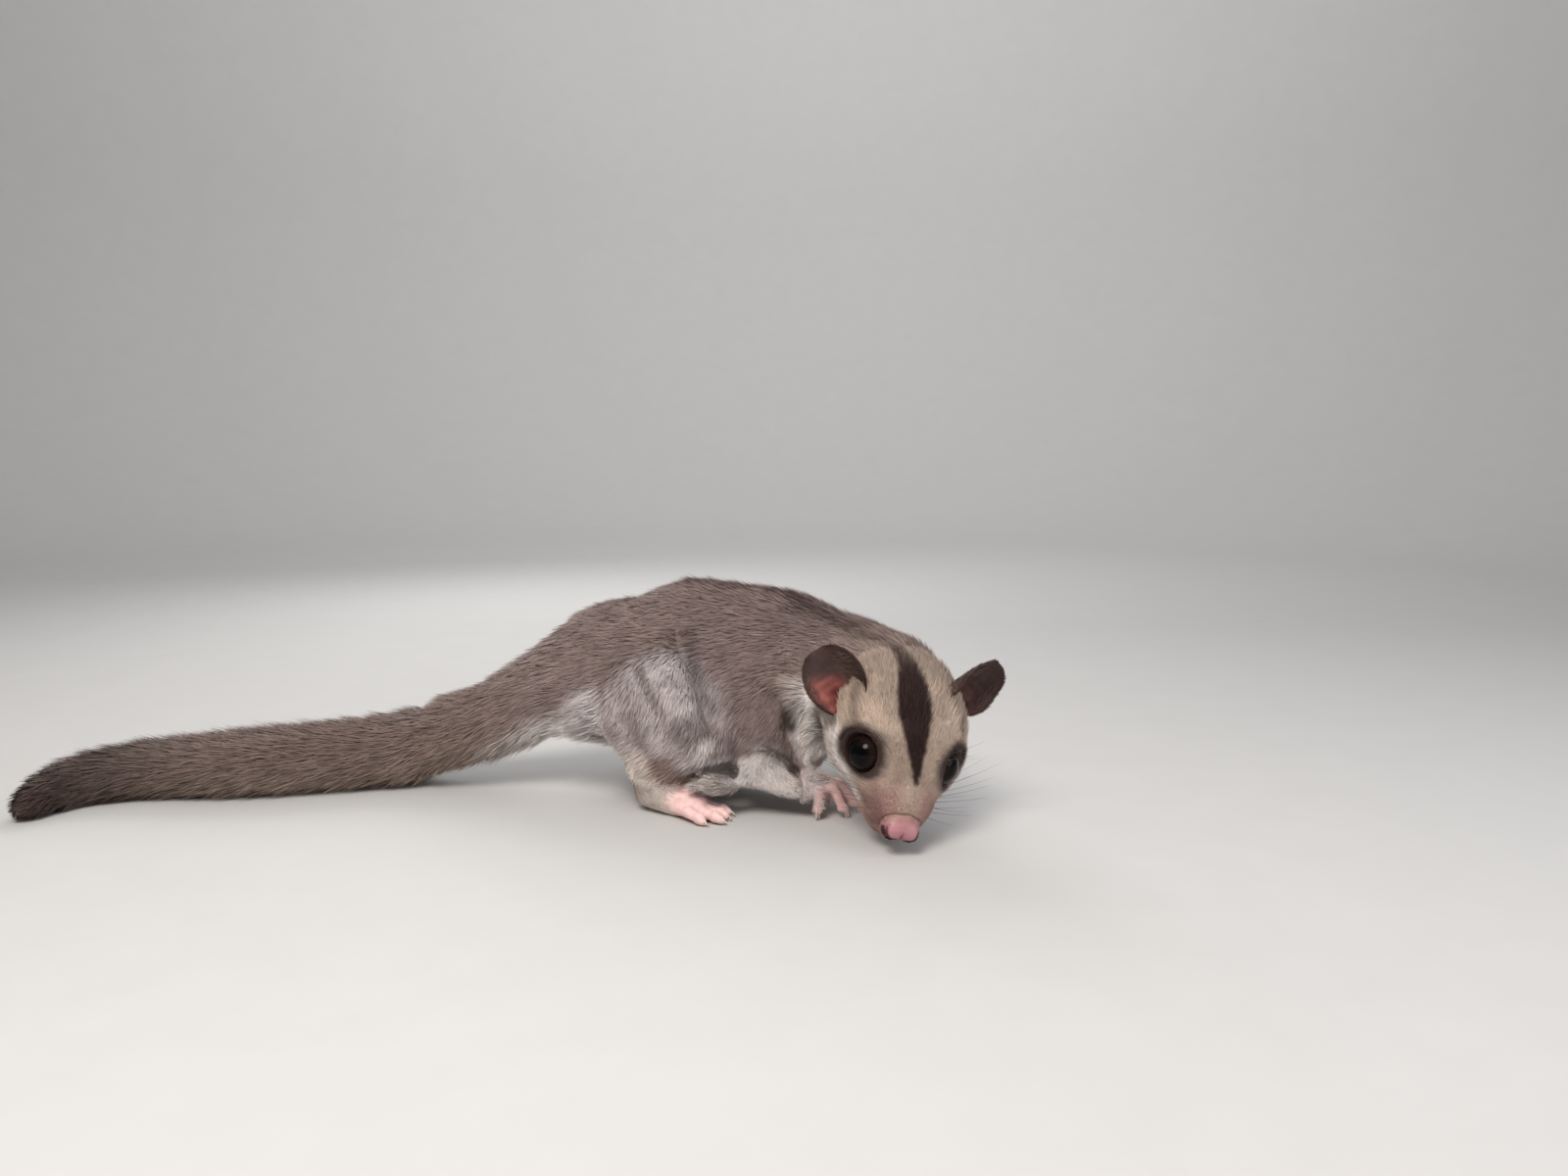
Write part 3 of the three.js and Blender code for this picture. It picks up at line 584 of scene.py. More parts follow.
def coatColour(points, normals, weights):
    local = headLocal(points)
    across, ahead, above = local.T
    on = {n: weights[:, i] for i, n in enumerate(fleshNodes)}
    up = normals[:, 2]
    mottle = waves(points, 9, 3)
    colour = np.tile(linear(markings["back"]), (len(points), 1))
    colour = mixed(colour, "flank", smoothStep(-up, -0.75, 0.1) * (0.75 + 0.25 * mottle))
    colour = mixed(colour, "belly", smoothStep(-up, 0.15, 0.7))
    away, _, _ = alongPath(points, spineLine)
    colour = mixed(colour, "spine", fade(away + 0.35 * mottle, 1.2, 4.4) * 0.8
                   * (on["torso"] + on["neck"] + on["tail_root"]))
    # tail, darker to its tip and paler below
    onTail = on["tail_mid"] + on["tail_end"] + on["tail_root"] * smoothStep(-points[:, 0], 62, 96)
    tail = mixed(np.tile(linear(markings["tail"]), (len(points), 1)), "tailUnder",
                 smoothStep(-up, -0.35, 0.75) * 0.8)
    tip = smoothStep(-points[:, 0], 150, 196)
    tail = mixed(tail, "tailTip", tip * 0.8)
    colour = colour + np.clip(onTail, 0, 1)[:, None] * (tail - colour)
    # limbs
    streak = waves(points * (1, 1, 0.3), 5, 8)
    for side in "RL":
        hind, fore = on["hind_leg_" + side], on["fore_leg_" + side]
        colour = mixed(colour, "thigh", hind**1.5 * (0.42 + 0.45 * streak))
        colour = mixed(colour, "heel", hind * fade(points[:, 2], 8, 15) * 0.8)
        if side == "L":
            colour = mixed(colour, "arm", fore * fade(points[:, 2], 13, 21))
        colour = mixed(colour, "membrane", on["glide_membrane_" + side] * (0.7 + 0.3 * streak))
        for node, bare, haired, near, far in (("hand_" + side, "fingerPink", "arm", 3, 8),
                                              ("hind_foot_" + side, "skinPink", "heel", 7, 12)):
            reach = norms(points[:, :2] - stances[node]["at"])
            colour = mixed(colour, bare, on[node])
            colour = mixed(colour, haired, on[node] * fade(reach, near, far))
    away, _, radius = alongPath(points, armRoll)
    roll = fade(away - radius + 0.4 * waves(points, 2.6, 15), -0.6, 0.9)
    colour = mixed(colour, "arm", roll * (1 - on["head"]) * (1 - on["hand_R"]))
    # face
    nearHead = fade(norms(local) + 1.2 * waves(points, 6, 44), 18.5, 26)
    face = smoothStep(ahead + 1.5 * waves(points, 5, 43), -19, -2) * nearHead
    colour = mixed(colour, "crownFur", smoothStep(ahead, -27, -9) * (on["head"] + on["neck"])
                   * smoothStep(up, -0.2, 0.3))
    colour = mixed(colour, "face", face)
    colour = mixed(colour, "cheek", face * smoothStep(-above, -4.5, 2.5) * smoothStep(15 - ahead, 2, 9))
    fromMiddle = np.abs(across + 0.4)
    onMuzzle = on["head"] * smoothStep(ahead, 11, 17.5)
    colour = mixed(colour, "muzzle", onMuzzle * smoothStep(fromMiddle, 0.5, 4) * 0.75)
    lower = fade(above, -6.5, -3.5) * fade(ahead, 16, 18.5)
    onSide = onMuzzle * smoothStep(fromMiddle + 0.4 * (-2 - above), 3.5, 6.5)
    colour = mixed(colour, "muzzleSide", onSide * (0.85 - 0.7 * lower))
    # mouth line, from under the nose back along the jaw: the lips' colour with painted shade of the mouth's
    # groove
    for sign in (1, -1):
        mouth = [onHead(*mirrored(spot, sign)) for spot in mouthLine]
        away, _, _ = alongPath(points, mouth)
        colour = mixed(colour, "lips", fade(away, 0.35, 1.5) * 0.8 * on["head"])
    for path, half, soft, name, strength in strokes:
        away = alongPath(points, path)[0] + 0.22 * soft * waves(points, 2.8, 12)
        colour = mixed(colour, name, fade(away, half, half + soft) * strength)
    for sign in (1, -1):
        ring, out = eyeRing(local, sign)
        eye = mirrored(head["eye"], sign)
        inwards = (eye[0] - across) * sign
        below = 1.7 * smoothStep(-above + eye[2], -2, 4)
        ring = ring + below - 0.5 * smoothStep(inwards, 0, 5) + 0.4 * waves(points, 3, 21)
        colour = mixed(colour, "eyeRing", fade(ring, 6.3, 8.5) * smoothStep(out, -3, 0))
        line = [onHead(*mirrored(spot, sign)) for spot in browLine]
        away, _, _ = alongPath(points, line)
        colour = mixed(colour, "eyeRing", fade(away, 0.4, 2.2) * 0.5)
    middle = np.interp(ahead, stripe[:, 0], stripe[:, 1])
    half = np.interp(ahead, stripe[:, 0], stripe[:, 2])
    edge = np.abs(across - middle) - half + 0.45 * waves(points, 2.4, 5)
    broken = np.clip(1.5 * waves(points, 3, 6) + 0.35, 0, 1)
    strength = broken + (1 - broken) * smoothStep(ahead, -16, -11)
    strength = strength * (0.55 + 0.45 * smoothStep(ahead, -26, -14))
    strength = strength * smoothStep(ahead, -25, -23) * fade(ahead, 13.5, 15)
    onTop = smoothStep(above, 0, 3)
    return mixed(colour, "stripe", fade(edge, -0.4, 0.7) * strength * onTop)


def addNode(tree, kind, settings=None, links=None, **values):
    node = tree.nodes.new(kind)
    for key, value in values.items():
        setattr(node, key, value)
    for key, value in (settings or {}).items():
        node.inputs[key].default_value = value
    for key, source in (links or {}).items():
        tree.links.new(source, node.inputs[key])
    return node


def rgba(hexColour):
    return (*linear(hexColour), 1)


def newMaterial(name, sockets):
    material = bpy.data.materials.new(name)
    material.use_nodes = True
    tree = material.node_tree
    tree.nodes.clear()
    shader = addNode(tree, "ShaderNodeBsdfPrincipled", sockets)
    addNode(tree, "ShaderNodeOutputMaterial", links={"Surface": shader.outputs[0]})
    return material, tree, shader


def objectPlace(tree):
    return addNode(tree, "ShaderNodeTexCoord").outputs["Object"]


def linkTone(tree, shader):
    tone = addNode(tree, "ShaderNodeAttribute", attribute_name="tone").outputs["Color"]
    tree.links.new(tone, shader.inputs["Base Color"])
    return tone


def addBump(tree, shader, height, strength, distance, **values):
    sockets = {"Strength": strength, "Distance": distance}
    bump = addNode(tree, "ShaderNodeBump", sockets, {"Height": height}, **values)
    tree.links.new(bump.outputs[0], shader.inputs["Normal"])


# The mesh's own tone, made darker and lighter by a noise
def tonedMaterial(name, sockets, noise, darkest, lightest):
    material, tree, shader = newMaterial(name, sockets)
    place = objectPlace(tree)
    mottle = addNode(tree, "ShaderNodeTexNoise", noise, {"Vector": place}).outputs["Fac"]
    limits = {"From Min": 0.3, "From Max": 0.7, "To Min": darkest, "To Max": lightest}
    light = addNode(tree, "ShaderNodeMapRange", limits, {"Value": mottle})
    scaled = addNode(tree, "ShaderNodeVectorMath", operation="SCALE",
                     links={0: linkTone(tree, shader), "Scale": light.outputs[0]})
    tree.links.new(scaled.outputs[0], shader.inputs["Base Color"])
    return material, tree, shader, place, mottle


# Two colours mixed by a noise
def mottledMaterial(name, sockets, noise, first, second):
    material, tree, shader = newMaterial(name, sockets)
    mottle = addNode(tree, "ShaderNodeTexNoise", noise, {"Vector": objectPlace(tree)})
    colours = {"A": rgba(first), "B": rgba(second)}
    mix = addNode(tree, "ShaderNodeMix", colours, {"Factor": mottle.outputs["Fac"]}, data_type="RGBA")
    tree.links.new(mix.outputs["Result"], shader.inputs["Base Color"])
    return material


# Fur is keratin: a soft satin gloss, its colour from the markings, mottled every 4 mm, about a lock's size
def furMaterial():
    sockets = {"Roughness": 0.55, "IOR": 1.55, "Specular IOR Level": 0.25}
    return tonedMaterial("keratinFur", sockets, {"Scale": 250, "Detail": 3}, 0.84, 1.16)[0]


# Skin: bare and pink on the feet, under the fur a darker tone of the coat. Pores and creases of 0.3 to 1 mm
def skinMaterial():
    sockets = {"Roughness": 0.5, "IOR": 1.4, "Subsurface Weight": 0.25,
               "Subsurface Radius": (1.0, 0.35, 0.2), "Subsurface Scale": 0.0012}
    noise = {"Scale": 420, "Detail": 4}
    material, tree, shader, place, _ = tonedMaterial("mammalSkin", sockets, noise, 0.86, 1.12)
    creases = addNode(tree, "ShaderNodeTexVoronoi", {"Scale": 1400}, {"Vector": place},
                      feature="DISTANCE_TO_EDGE")
    addBump(tree, shader, creases.outputs["Distance"], 0.35, 0.0002)
    return material


fur = furMaterial()
mammalSkin = skinMaterial()

skinPlaces, skinNormals, skinEdges = verticesOf(skin.data), normalsOf(skin.data), edgesOf(skin.data)
skinNormals = unit(relaxed(skinNormals, skinEdges, 2))
onTrunk = 1 - skinWeights[:, fleshNodes.index("head")]
for path, half, inward in folds:
    valley = np.exp(-((alongPath(skinPlaces + skinNormals * skinDepth[:, None], path)[0]
                       / half) ** 2)) * onTrunk
    skinPlaces = skinPlaces - skinNormals * (inward * valley * (fineNodes < 0))[:, None]
moveTo(skin.data, skinPlaces)
skinNormals = unit(relaxed(normalsOf(skin.data), skinEdges, 2))
outline = skinPlaces + skinNormals * skinDepth[:, None]
depthField, lengthField, widthField, numberField = coatFields(outline, skinWeights)
onDigits = fineNodes >= 0
depthField = np.where(onDigits, skinShape["bareDepth"], depthField)
lengthField = np.where(onDigits, skinShape["bareHair"], lengthField)
skinFlow = lieOfCoat(outline, skinNormals, skinWeights, skinEdges)
furry = smoothStep(depthField, 0.25, 0.9)[:, None]
storeColour(skin.data, "tone", coatColour(outline, skinNormals, skinWeights) * (1 - 0.35 * furry))
dressed(skin, mammalSkin)
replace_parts(skin, *fleshNodes)

# An unwrap of the skin's own shape, for the coat's bake map
bpy.context.view_layer.objects.active = skin
skin.select_set(True)
skin.data.uv_layers.new(name="skinMap")
bpy.ops.object.mode_set(mode="EDIT")
bpy.ops.mesh.select_all(action="SELECT")
bpy.ops.uv.smart_project(angle_limit=math.radians(66), island_margin=0.002)
bpy.ops.object.mode_set(mode="OBJECT")
print("skin unwrapped", flush=True)

# Coat: tufts of two bent lengths that end in a point, rooted in the skin
tufts = {
    "sink": 0.25, "rise": 46, "settle": 19, "roll": 0.35, "kneeWidth": 0.85, "floorGap": 0.12,
    # tone at the root, the knee and the tip, the darker root partly the hair's own dark base and partly
    # painted shade deep in the coat, and where along a hair the root's and tip's markings are read
    "shades": (0.55, 0.96, 1.12), "readAt": (0.25, 0.8),
    # spread of lean sideways (in wide locks, narrow locks and single hairs), length, width and lift
    "leans": (0.28, 0.22, 0.12), "lengths": (0.72, 1.18), "widths": (0.7, 1.25), "lifts": (0.25, 0.16),
    "patch": 0.003, "most": 64000,
}
furSlots = {"head": "face_fur", "tail": "tail_fur", "glide": "fringe_fur"}


def sampleSurface(places, corners, uvs, number):
    a, b, c = (places[corners[:, k]] for k in range(3))
    area = norms(np.cross(b - a, c - a)) / 2
    wanted = area * number[corners].mean(1)
    count = np.floor(wanted + random.random(len(wanted))).astype(int)
    index = np.repeat(np.arange(len(corners)), count)
    r = np.sqrt(random.random(len(index)))
    s = random.random(len(index))
    share = np.stack([1 - r, r * (1 - s), r * s], 1)
    return corners[index], share, (uvs[index] * share[:, :, None]).sum(1)


def between(values, corners, share):
    return (values[corners] * (share[:, :, None] if values.ndim > 1 else share)).sum(1)


def tuftMesh(name, root, normal, flow, length, width, lift, colour, tipColour, spot):
    count = len(root)
    side = unit(np.cross(normal, flow))
    roll = random.normal(0, tufts["roll"], count)[:, None]
    across = unit(side * np.cos(roll) + normal * np.sin(roll)) * width[:, None] / 2
    rise, settle = (np.radians(tufts[k]) * lift for k in ("rise", "settle"))
    length = length[:, None]
    foot = root - normal * tufts["sink"]
    knee = foot + (flow * np.cos(rise) + normal * np.sin(rise)) * length * 0.5
    tip = knee + (flow * np.cos(settle) + normal * np.sin(settle)) * length * 0.5
    wide = across * tufts["kneeWidth"]
    places = np.stack([foot - across, foot + across, knee - wide, knee + wide, tip], 1)
    places[:, :, 2] = np.maximum(places[:, :, 2], tufts["floorGap"])
    order = np.array([0, 1, 3, 0, 3, 2, 2, 3, 4])
    corners = (np.arange(count)[:, None] * 5 + order).ravel()
    mesh = meshFromArrays(name, places.reshape(-1, 3), corners)
    atRoot, atKnee, atTip = tufts["shades"]
    # roots darkened: the hair's own dark base, and painted shade deep in the coat
    rootTone, kneeTone = colour * atRoot, (colour + tipColour) * (atKnee / 2)
    tones = np.stack([rootTone, rootTone, kneeTone, kneeTone, tipColour * atTip], 1)
    storeColour(mesh, "tone", tones.reshape(-1, 3))
    layout = (np.array([(0, 0), (1, 0), (0, 0.5), (1, 0.5), (0.5, 1)]) - 0.5) * tufts["patch"]
    uv = (spot[:, None] + layout).reshape(-1, 2)[corners]
    mesh.uv_layers.new(name="OFBake").uv.foreach_set("vector", uv.astype(np.float32).ravel())
    return mesh


def coatPiece(name, slot, *args):
    dressed(newObject(name, tuftMesh(name, *args)), fur)


def growCoat():
    share = 1
    corners, loops = trianglesOf(skin.data)
    uvs = readArray(skin.data.uv_layers["skinMap"].uv, "vector", 2, np.float32)[loops]
    number = numberField * smoothStep(lengthField, 0.5, 0.9)
    local = headLocal(outline)
    # none on the eyes
    for sign in (1, -1):
        ring, out = eyeRing(local, sign)
        number = number * np.where((ring < head["eyeRadius"]) & (out > -1), 0, 1)
    for node, stance in stances.items():
        # hands and feet: short hair on the back of the palm, thinning out over the digits, none below
        far = norms(skinPlaces[:, :2] - np.array(stance["at"]))
        onSides = smoothStep(skinNormals[:, 2], -0.2, 0.5)
        joint = fade(far, 6, 10) if node.startswith("hind_foot") else fade(far, 4, 8)
        onSides = onSides + joint * (smoothStep(skinNormals[:, 2], -0.9, -0.3) - onSides)
        haired = onSides * fade(far, 6, 12) * smoothStep(skinPlaces[:, 2], 0.6, 2)
        on = skinWeights[:, fleshNodes.index(node)]
        number = number * np.where(fineNodes == fleshNodes.index(node), 1.2 * haired, 1 - 0.6 * on)
    number = number * smoothStep(norms(local - head["nose"]), 3.6, 4.6)
    number = number * (1 - 0.55 * smoothStep(-skinNormals[:, 2], 0.3, 0.8))
    tri, part, spot = sampleSurface(skinPlaces, corners, uvs, number * share)
    root, normal, flow = (between(v, tri, part) for v in (skinPlaces, skinNormals, skinFlow))
    normal, flow = unit(normal), unit(flow)
    length, width, depth = (between(v, tri, part) for v in (lengthField, widthField, depthField))
    weights = between(skinWeights, tri, part)
    side = unit(np.cross(normal, flow))
    # hairs lean together in locks and part between them
    wide, narrow, single = tufts["leans"]
    lean = wide * waves(root, 5.5, 31) + narrow * waves(root, 2.2, 32) + random.normal(0, single, len(root))
    flow = unit(flow + side * lean[:, None])
    length = length * random.uniform(*tufts["lengths"], len(root))
    wide, single = tufts["lifts"]
    lift = (1 + wide * waves(root, 4, 33) + random.normal(0, single, len(root)))[:, None]
    width = width * random.uniform(*tufts["widths"], len(root)) / math.sqrt(share)
    mainNode = np.argmax(weights, axis=1)
    uneven = (1 + random.normal(0, 0.1, len(root)))[:, None]
    onLimbs = np.isin(mainNode, [fleshNodes.index(n) for n in stances])
    colours = []
    for along in tufts["readAt"]:
        seen = root + normal * depth[:, None] * 0.8 + flow * length[:, None] * along
        colour = coatColour(seen, normal, weights)
        colour[onLimbs] = 0.3 * colour[onLimbs] + 0.7 * linear(markings["arm"])
        colours.append(colour * uneven)
    groups = {}
    for i, node in enumerate(fleshNodes):
        groups.setdefault(node.rsplit("_", 1)[0] if node[-2] == "_" else node, []).append(i)
    total = 0
    for group, members in groups.items():
        chosen = np.flatnonzero(np.isin(mainNode, members))
        slot = furSlots.get(group.split("_")[0], "body_fur")
        label = "coat" + "".join(w.capitalize() for w in group.split("_"))
        pieces = int(np.ceil(len(chosen) / tufts["most"])) or 1
        chosen = chosen[np.argsort(root[chosen] @ (0.7, 0.7, 0.1))]
        for n, some in enumerate(np.array_split(chosen, pieces)):
            if len(some) == 0:
                continue
            fields = (root, normal, flow, length, width, lift, *colours, spot)
            coatPiece(label + str(n + 1), slot, *(values[some] for values in fields))
            total += len(some)
    print("coat", total, "tufts,", total * 3, "triangles", flush=True)


growCoat()

# Eyes: a black glossy ball with a low cornea, in a rim of dark wet lid
eyes = {
    "cornea": 0.35, "corneaAngle": 48, "pupil": "#040304", "iris": "#1c110d",
    # the rim's profile: degrees from the line of sight, and how far it stands out of the ball
    "rim": [(59, 0.05), (61.5, 0.45), (66, 0.75), (74, 0.75), (86, 0.2)],
}


# Eyeball: black under a wet cornea
def eyeMaterial():
    material, tree, shader = newMaterial("wetEye",
                                         {"Roughness": 0.04, "IOR": 1.36, "Specular IOR Level": 0.18})
    linkTone(tree, shader)
    return material


wetEye = eyeMaterial()
# Lid: dark bare skin, a little moist
lidRim = mottledMaterial("lidRim", {"Roughness": 0.38}, {"Scale": 900, "Detail": 2}, "#1d1412", "#3a2724")


def makeEye(name, node, sign):
    low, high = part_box(node)
    gaze = Vector(headwards(*mirrored(head["gaze"], sign)))
    turn = Vector((0, 0, 1)).rotation_difference(gaze).to_matrix().to_4x4()
    place = Matrix.Translation((low + high) / 2) @ turn
    bm = bmesh.new()
    bmesh.ops.create_uvsphere(bm, u_segments=48, v_segments=32, radius=head["eyeRadius"] * mm)
    for v in bm.verts:
        angle = math.degrees(v.co.angle(Vector((0, 0, 1))))
        v.co *= 1 + eyes["cornea"] / head["eyeRadius"] * max(0, 1 - (angle / eyes["corneaAngle"]) ** 2)
    angles = np.array([math.degrees(v.co.angle(Vector((0, 0, 1)))) for v in bm.verts])
    bmesh.ops.transform(bm, matrix=place, verts=bm.verts)
    mesh = smoothMesh(name, bm)
    iris = smoothStep(angles, 30, 44) * fade(angles, 56, 62)
    storeColour(mesh, "tone", tinted(np.tile(linear(eyes["pupil"]), (len(angles), 1)), eyes["iris"], iris))
    eye = dressed(newObject(name, mesh), wetEye)
    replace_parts(eye, node)
    angle, out = np.array(eyes["rim"]).T
    angle, out = np.radians(angle), head["eyeRadius"] + out
    bm = spun(np.column_stack([out * np.sin(angle), out * np.cos(angle)]), 56, mm)
    bmesh.ops.transform(bm, matrix=place, verts=bm.verts)
    dressed(newObject(name + "Lid", smoothMesh(name + "Lid", bm)), lidRim)


makeEye("eyeRight", "eye_R", 1)
makeEye("eyeLeft", "eye_L", -1)
print("eyes", flush=True)

# Claws: pale horn, each a bent cone with a blunt root in the tip of its digit
clawSockets = {"Roughness": 0.32, "IOR": 1.54, "Subsurface Weight": 0.2, "Subsurface Scale": 0.0006}
clawHorn = mottledMaterial("clawHorn", clawSockets, {"Scale": 1100, "Detail": 2}, "#b99a8c", "#e2d3c6")


# A tapered tube, drawn out from a circle along its path to a point
def drawTube(bm, path, radii, sides):
    path = np.array(path)
    ahead = unit(np.gradient(path, axis=0))
    side = unit(np.cross(ahead, (0.31, 0.2, 0.93)))
    stations = []
    for spot, radius, t, s in zip(toWorld(path), radii, ahead, side):
        turn = Matrix(np.array([s, np.cross(t, s), t]).T.tolist()).to_4x4()
        stations.append(Matrix.Translation(spot) @ turn @ Matrix.Scale(radius * mm, 4))
    ring = bmesh.ops.create_circle(bm, cap_ends=True, segments=sides, radius=1, matrix=stations[0])["verts"]
    edges = list({e for v in ring for e in v.link_edges})
    for last, now in zip(stations[:-1], stations[1:]):
        made = bmesh.ops.extrude_edge_only(bm, edges=edges)["geom"]
        ring = [g for g in made if isinstance(g, bmesh.types.BMVert)]
        edges = [g for g in made if isinstance(g, bmesh.types.BMEdge)]
        bmesh.ops.transform(bm, matrix=now @ last.inverted(), verts=ring)
    bmesh.ops.pointmerge(bm, verts=ring, merge_co=stations[-1].translation)


def finished(name, bm, material):
    bmesh.ops.recalc_face_normals(bm, faces=bm.faces)
    dressed(newObject(name, smoothMesh(name, bm)), material)


def makeClaws(name, node):
    onHand = node.startswith("hand")
    size = fingers if onHand else toes
    # the big toe of the foot has none
    lines = digitsOf(node) if onHand else digitsOf(node)[:4]
    bm = bmesh.new()
    for line in lines:
        ahead = unit((line[-1] - line[0]) * (1, 1, 0))
        t = np.linspace(0, 1, 7)[:, None]
        if onHand:
            out, rise = 1.7 * np.sin(t * 1.8) - 0.7, 0.5 - 3.0 * t**1.4
        else:
            out, rise = size["clawLength"] * t - 0.6, 0.35 + 0.5 * t - 1.75 * t**2
        path = line[-1] + ahead * out + (0, 0, 1) * rise
        path[:, 2] = np.maximum(path[:, 2], 0.12)
        drawTube(bm, path, size["claw"] * (1 - 0.85 * t[:, 0] ** 1.3), 8)
    finished(name, bm, clawHorn)


for name, node in (("clawsHandRight", "hand_R"), ("clawsHandLeft", "hand_L"),
                   ("clawsFootRight", "hind_foot_R"), ("clawsFootLeft", "hind_foot_L")):
    makeClaws(name, node)
print("claws", flush=True)

# Whiskers: tapering bristles in rows on the sides of the muzzle, with a few over the eye and on the cheek
whiskers = {
    # root on the head, then heading, length; each for the right side
    "muzzle": [((4.2, 15.5, -2.6), (0.9, 0.1, 0.3), 13), ((4.6, 15.2, -4.0), (0.95, 0.12, 0.1), 15),
               ((4.6, 15, -5.6), (0.9, 0.15, -0.2), 13), ((5.3, 13.2, -2.4), (0.92, -0.1, 0.3), 18),
               ((5.8, 13, -4.0), (0.95, -0.1, 0.05), 20), ((5.8, 12.8, -5.6), (0.92, -0.05, -0.25), 17),
               ((6.5, 11, -2.4), (0.9, -0.3, 0.25), 22), ((7.0, 10.8, -4.2), (0.93, -0.3, 0.0), 23),
               ((6.9, 10.6, -5.8), (0.9, -0.25, -0.3), 19), ((7.6, 9, -3.4), (0.85, -0.45, 0.1), 20),
               ((7.8, 8.8, -5.2), (0.85, -0.4, -0.2), 18)],
    "brow": [((5.4, 8.6, 7.0), (0.5, 0.35, 0.8), 12), ((6.4, 7.4, 7.2), (0.65, 0.1, 0.8), 13)],
    "cheek": [((13.6, -1, -4.5), (0.9, -0.2, -0.3), 13), ((13.2, -2, -6), (0.88, -0.2, -0.45), 12)],
    "radius": 0.07,
    "droop": 0.1,
    "back": 0.22,
}


def makeWhiskers(name, sign):
    bm = bmesh.new()
    bend = headwards(0, -1, 0.1) * whiskers["back"] - np.array((0, 0, whiskers["droop"]))
    t = np.linspace(0, 1, 9)[:, None]
    for root, heading, length in whiskers["muzzle"] + whiskers["brow"] + whiskers["cheek"]:
        heading = headwards(*mirrored(heading, sign))
        path = onHead(*mirrored(root, sign)) + length * (heading * t + bend * t**2)
        path[:, 2] = np.maximum(path[:, 2], 0.4)
        drawTube(bm, path, whiskers["radius"] * (1 - 0.85 * t[:, 0]), 4)
    finished(name, bm, bristle)


# Bristles: dark keratin, smoother than the fur
bristle = mottledMaterial("whiskerKeratin", {"Roughness": 0.4, "IOR": 1.55}, {"Scale": 300, "Detail": 1},
                          "#2a1f1c", "#5d4c45")
makeWhiskers("whiskersRight", 1)
makeWhiskers("whiskersLeft", -1)
print("whiskers", flush=True)

# Nose: the pad and its nostrils, moist and pink
noseShape = {
    "voxel": 0.18, "smoothing": 5, "hairs": 34,
    "comma": [(3.3, -0.9), (4.0, -2.0), (3.6, -3.2), (2.4, -4.2)],
    "wing": (2.4, 0, -2.3),
    "nostril": [(1.5, 24.2, -4.5), (2.9, 23.2, -4.3), (4.4, 22, -3.5)],
    "pad": "#ab777c", "padBelow": "#8a4f56", "padRear": "#8a6058",
    # the philtrum's groove, the commas round the nostrils and the nostrils themselves are darkened as
    # painted shade
    "philtrum": "#7e434b", "commaShade": "#64303a", "nostrilShade": "#3a1519",
}


# Bare wet skin in grains of 0.4 mm
def noseMaterial():
    sockets = {"Roughness": 0.46, "Subsurface Weight": 0.3, "Subsurface Radius": (1.0, 0.35, 0.25),
               "Subsurface Scale": 0.0012}
    material, tree, shader = newMaterial("nosePad", sockets)
    linkTone(tree, shader)
    pebbles = addNode(tree, "ShaderNodeTexVoronoi", {"Scale": 2600}, {"Vector": objectPlace(tree)})
    addBump(tree, shader, pebbles.outputs["Distance"], 0.4, 0.00012, invert=True)
    return material


def makeNose():
    nose = newObject("nose", smoothMesh("noseCopy", cleanCopy("nose")))
    nose.data = mesh = voxelMesh(nose, noseShape["voxel"])
    places = relaxed(verticesOf(mesh), edgesOf(mesh), noseShape["smoothing"])
    local = headLocal(places)
    ahead = smoothStep(normalsOf(mesh) @ headForward, 0.0, 0.35)
    flat = local * (1, 0, 1)
    # philtrum down the middle of the pad, and a comma round each nostril with its wing standing proud
    groove = np.exp(-((local[:, 0] / 0.32) ** 2)) * smoothStep(-local[:, 2], 1.6, 3.4) * ahead
    comma, wing, inNostril = np.zeros((3, len(places)))
    for sign in (1, -1):
        line = [(sign * x, 0, z) for x, z in noseShape["comma"]]
        comma = np.maximum(comma, np.exp(-((alongPath(flat, line)[0] / 0.36) ** 2)) * ahead)
        fromWing = norms(flat - mirrored(noseShape["wing"], sign))
        wing = np.maximum(wing, np.exp(-((fromWing / 1.5) ** 2)) * ahead)
    rear = fade(local[:, 1], 19.6, 21.6)
    inward = 0.34 * groove + 0.5 * comma - 0.16 * wing - 0.34 * rear
    moveTo(mesh, places - normalsOf(mesh) * inward[:, None])
    for sign in (1, -1):
        path = [onHead(*mirrored(spot, sign)) for spot in noseShape["nostril"]]
        inNostril = np.maximum(inNostril, fade(alongPath(places, path)[0], 0.75, 1.35))
    # the pad darker below; painted shade in the philtrum's groove, in the commas round the nostrils and in
    # the nostrils
    tone = np.tile(linear(noseShape["pad"]), (len(places), 1))
    for name, mask in (("padBelow", 0.6 * smoothStep(-local[:, 2], 2.5, 6)),
                       ("padRear", smoothStep(-local[:, 1], -22.6, -19.6)),
                       ("philtrum", 0.8 * groove), ("commaShade", 0.9 * comma), ("nostrilShade", inNostril)):
        tone = tinted(tone, noseShape[name], mask)
    storeColour(mesh, "tone", tone)
    mesh.polygons.foreach_set("use_smooth", np.ones(len(mesh.polygons), bool))
    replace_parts(dressed(nose, noseMaterial()), "nose")
    return nose


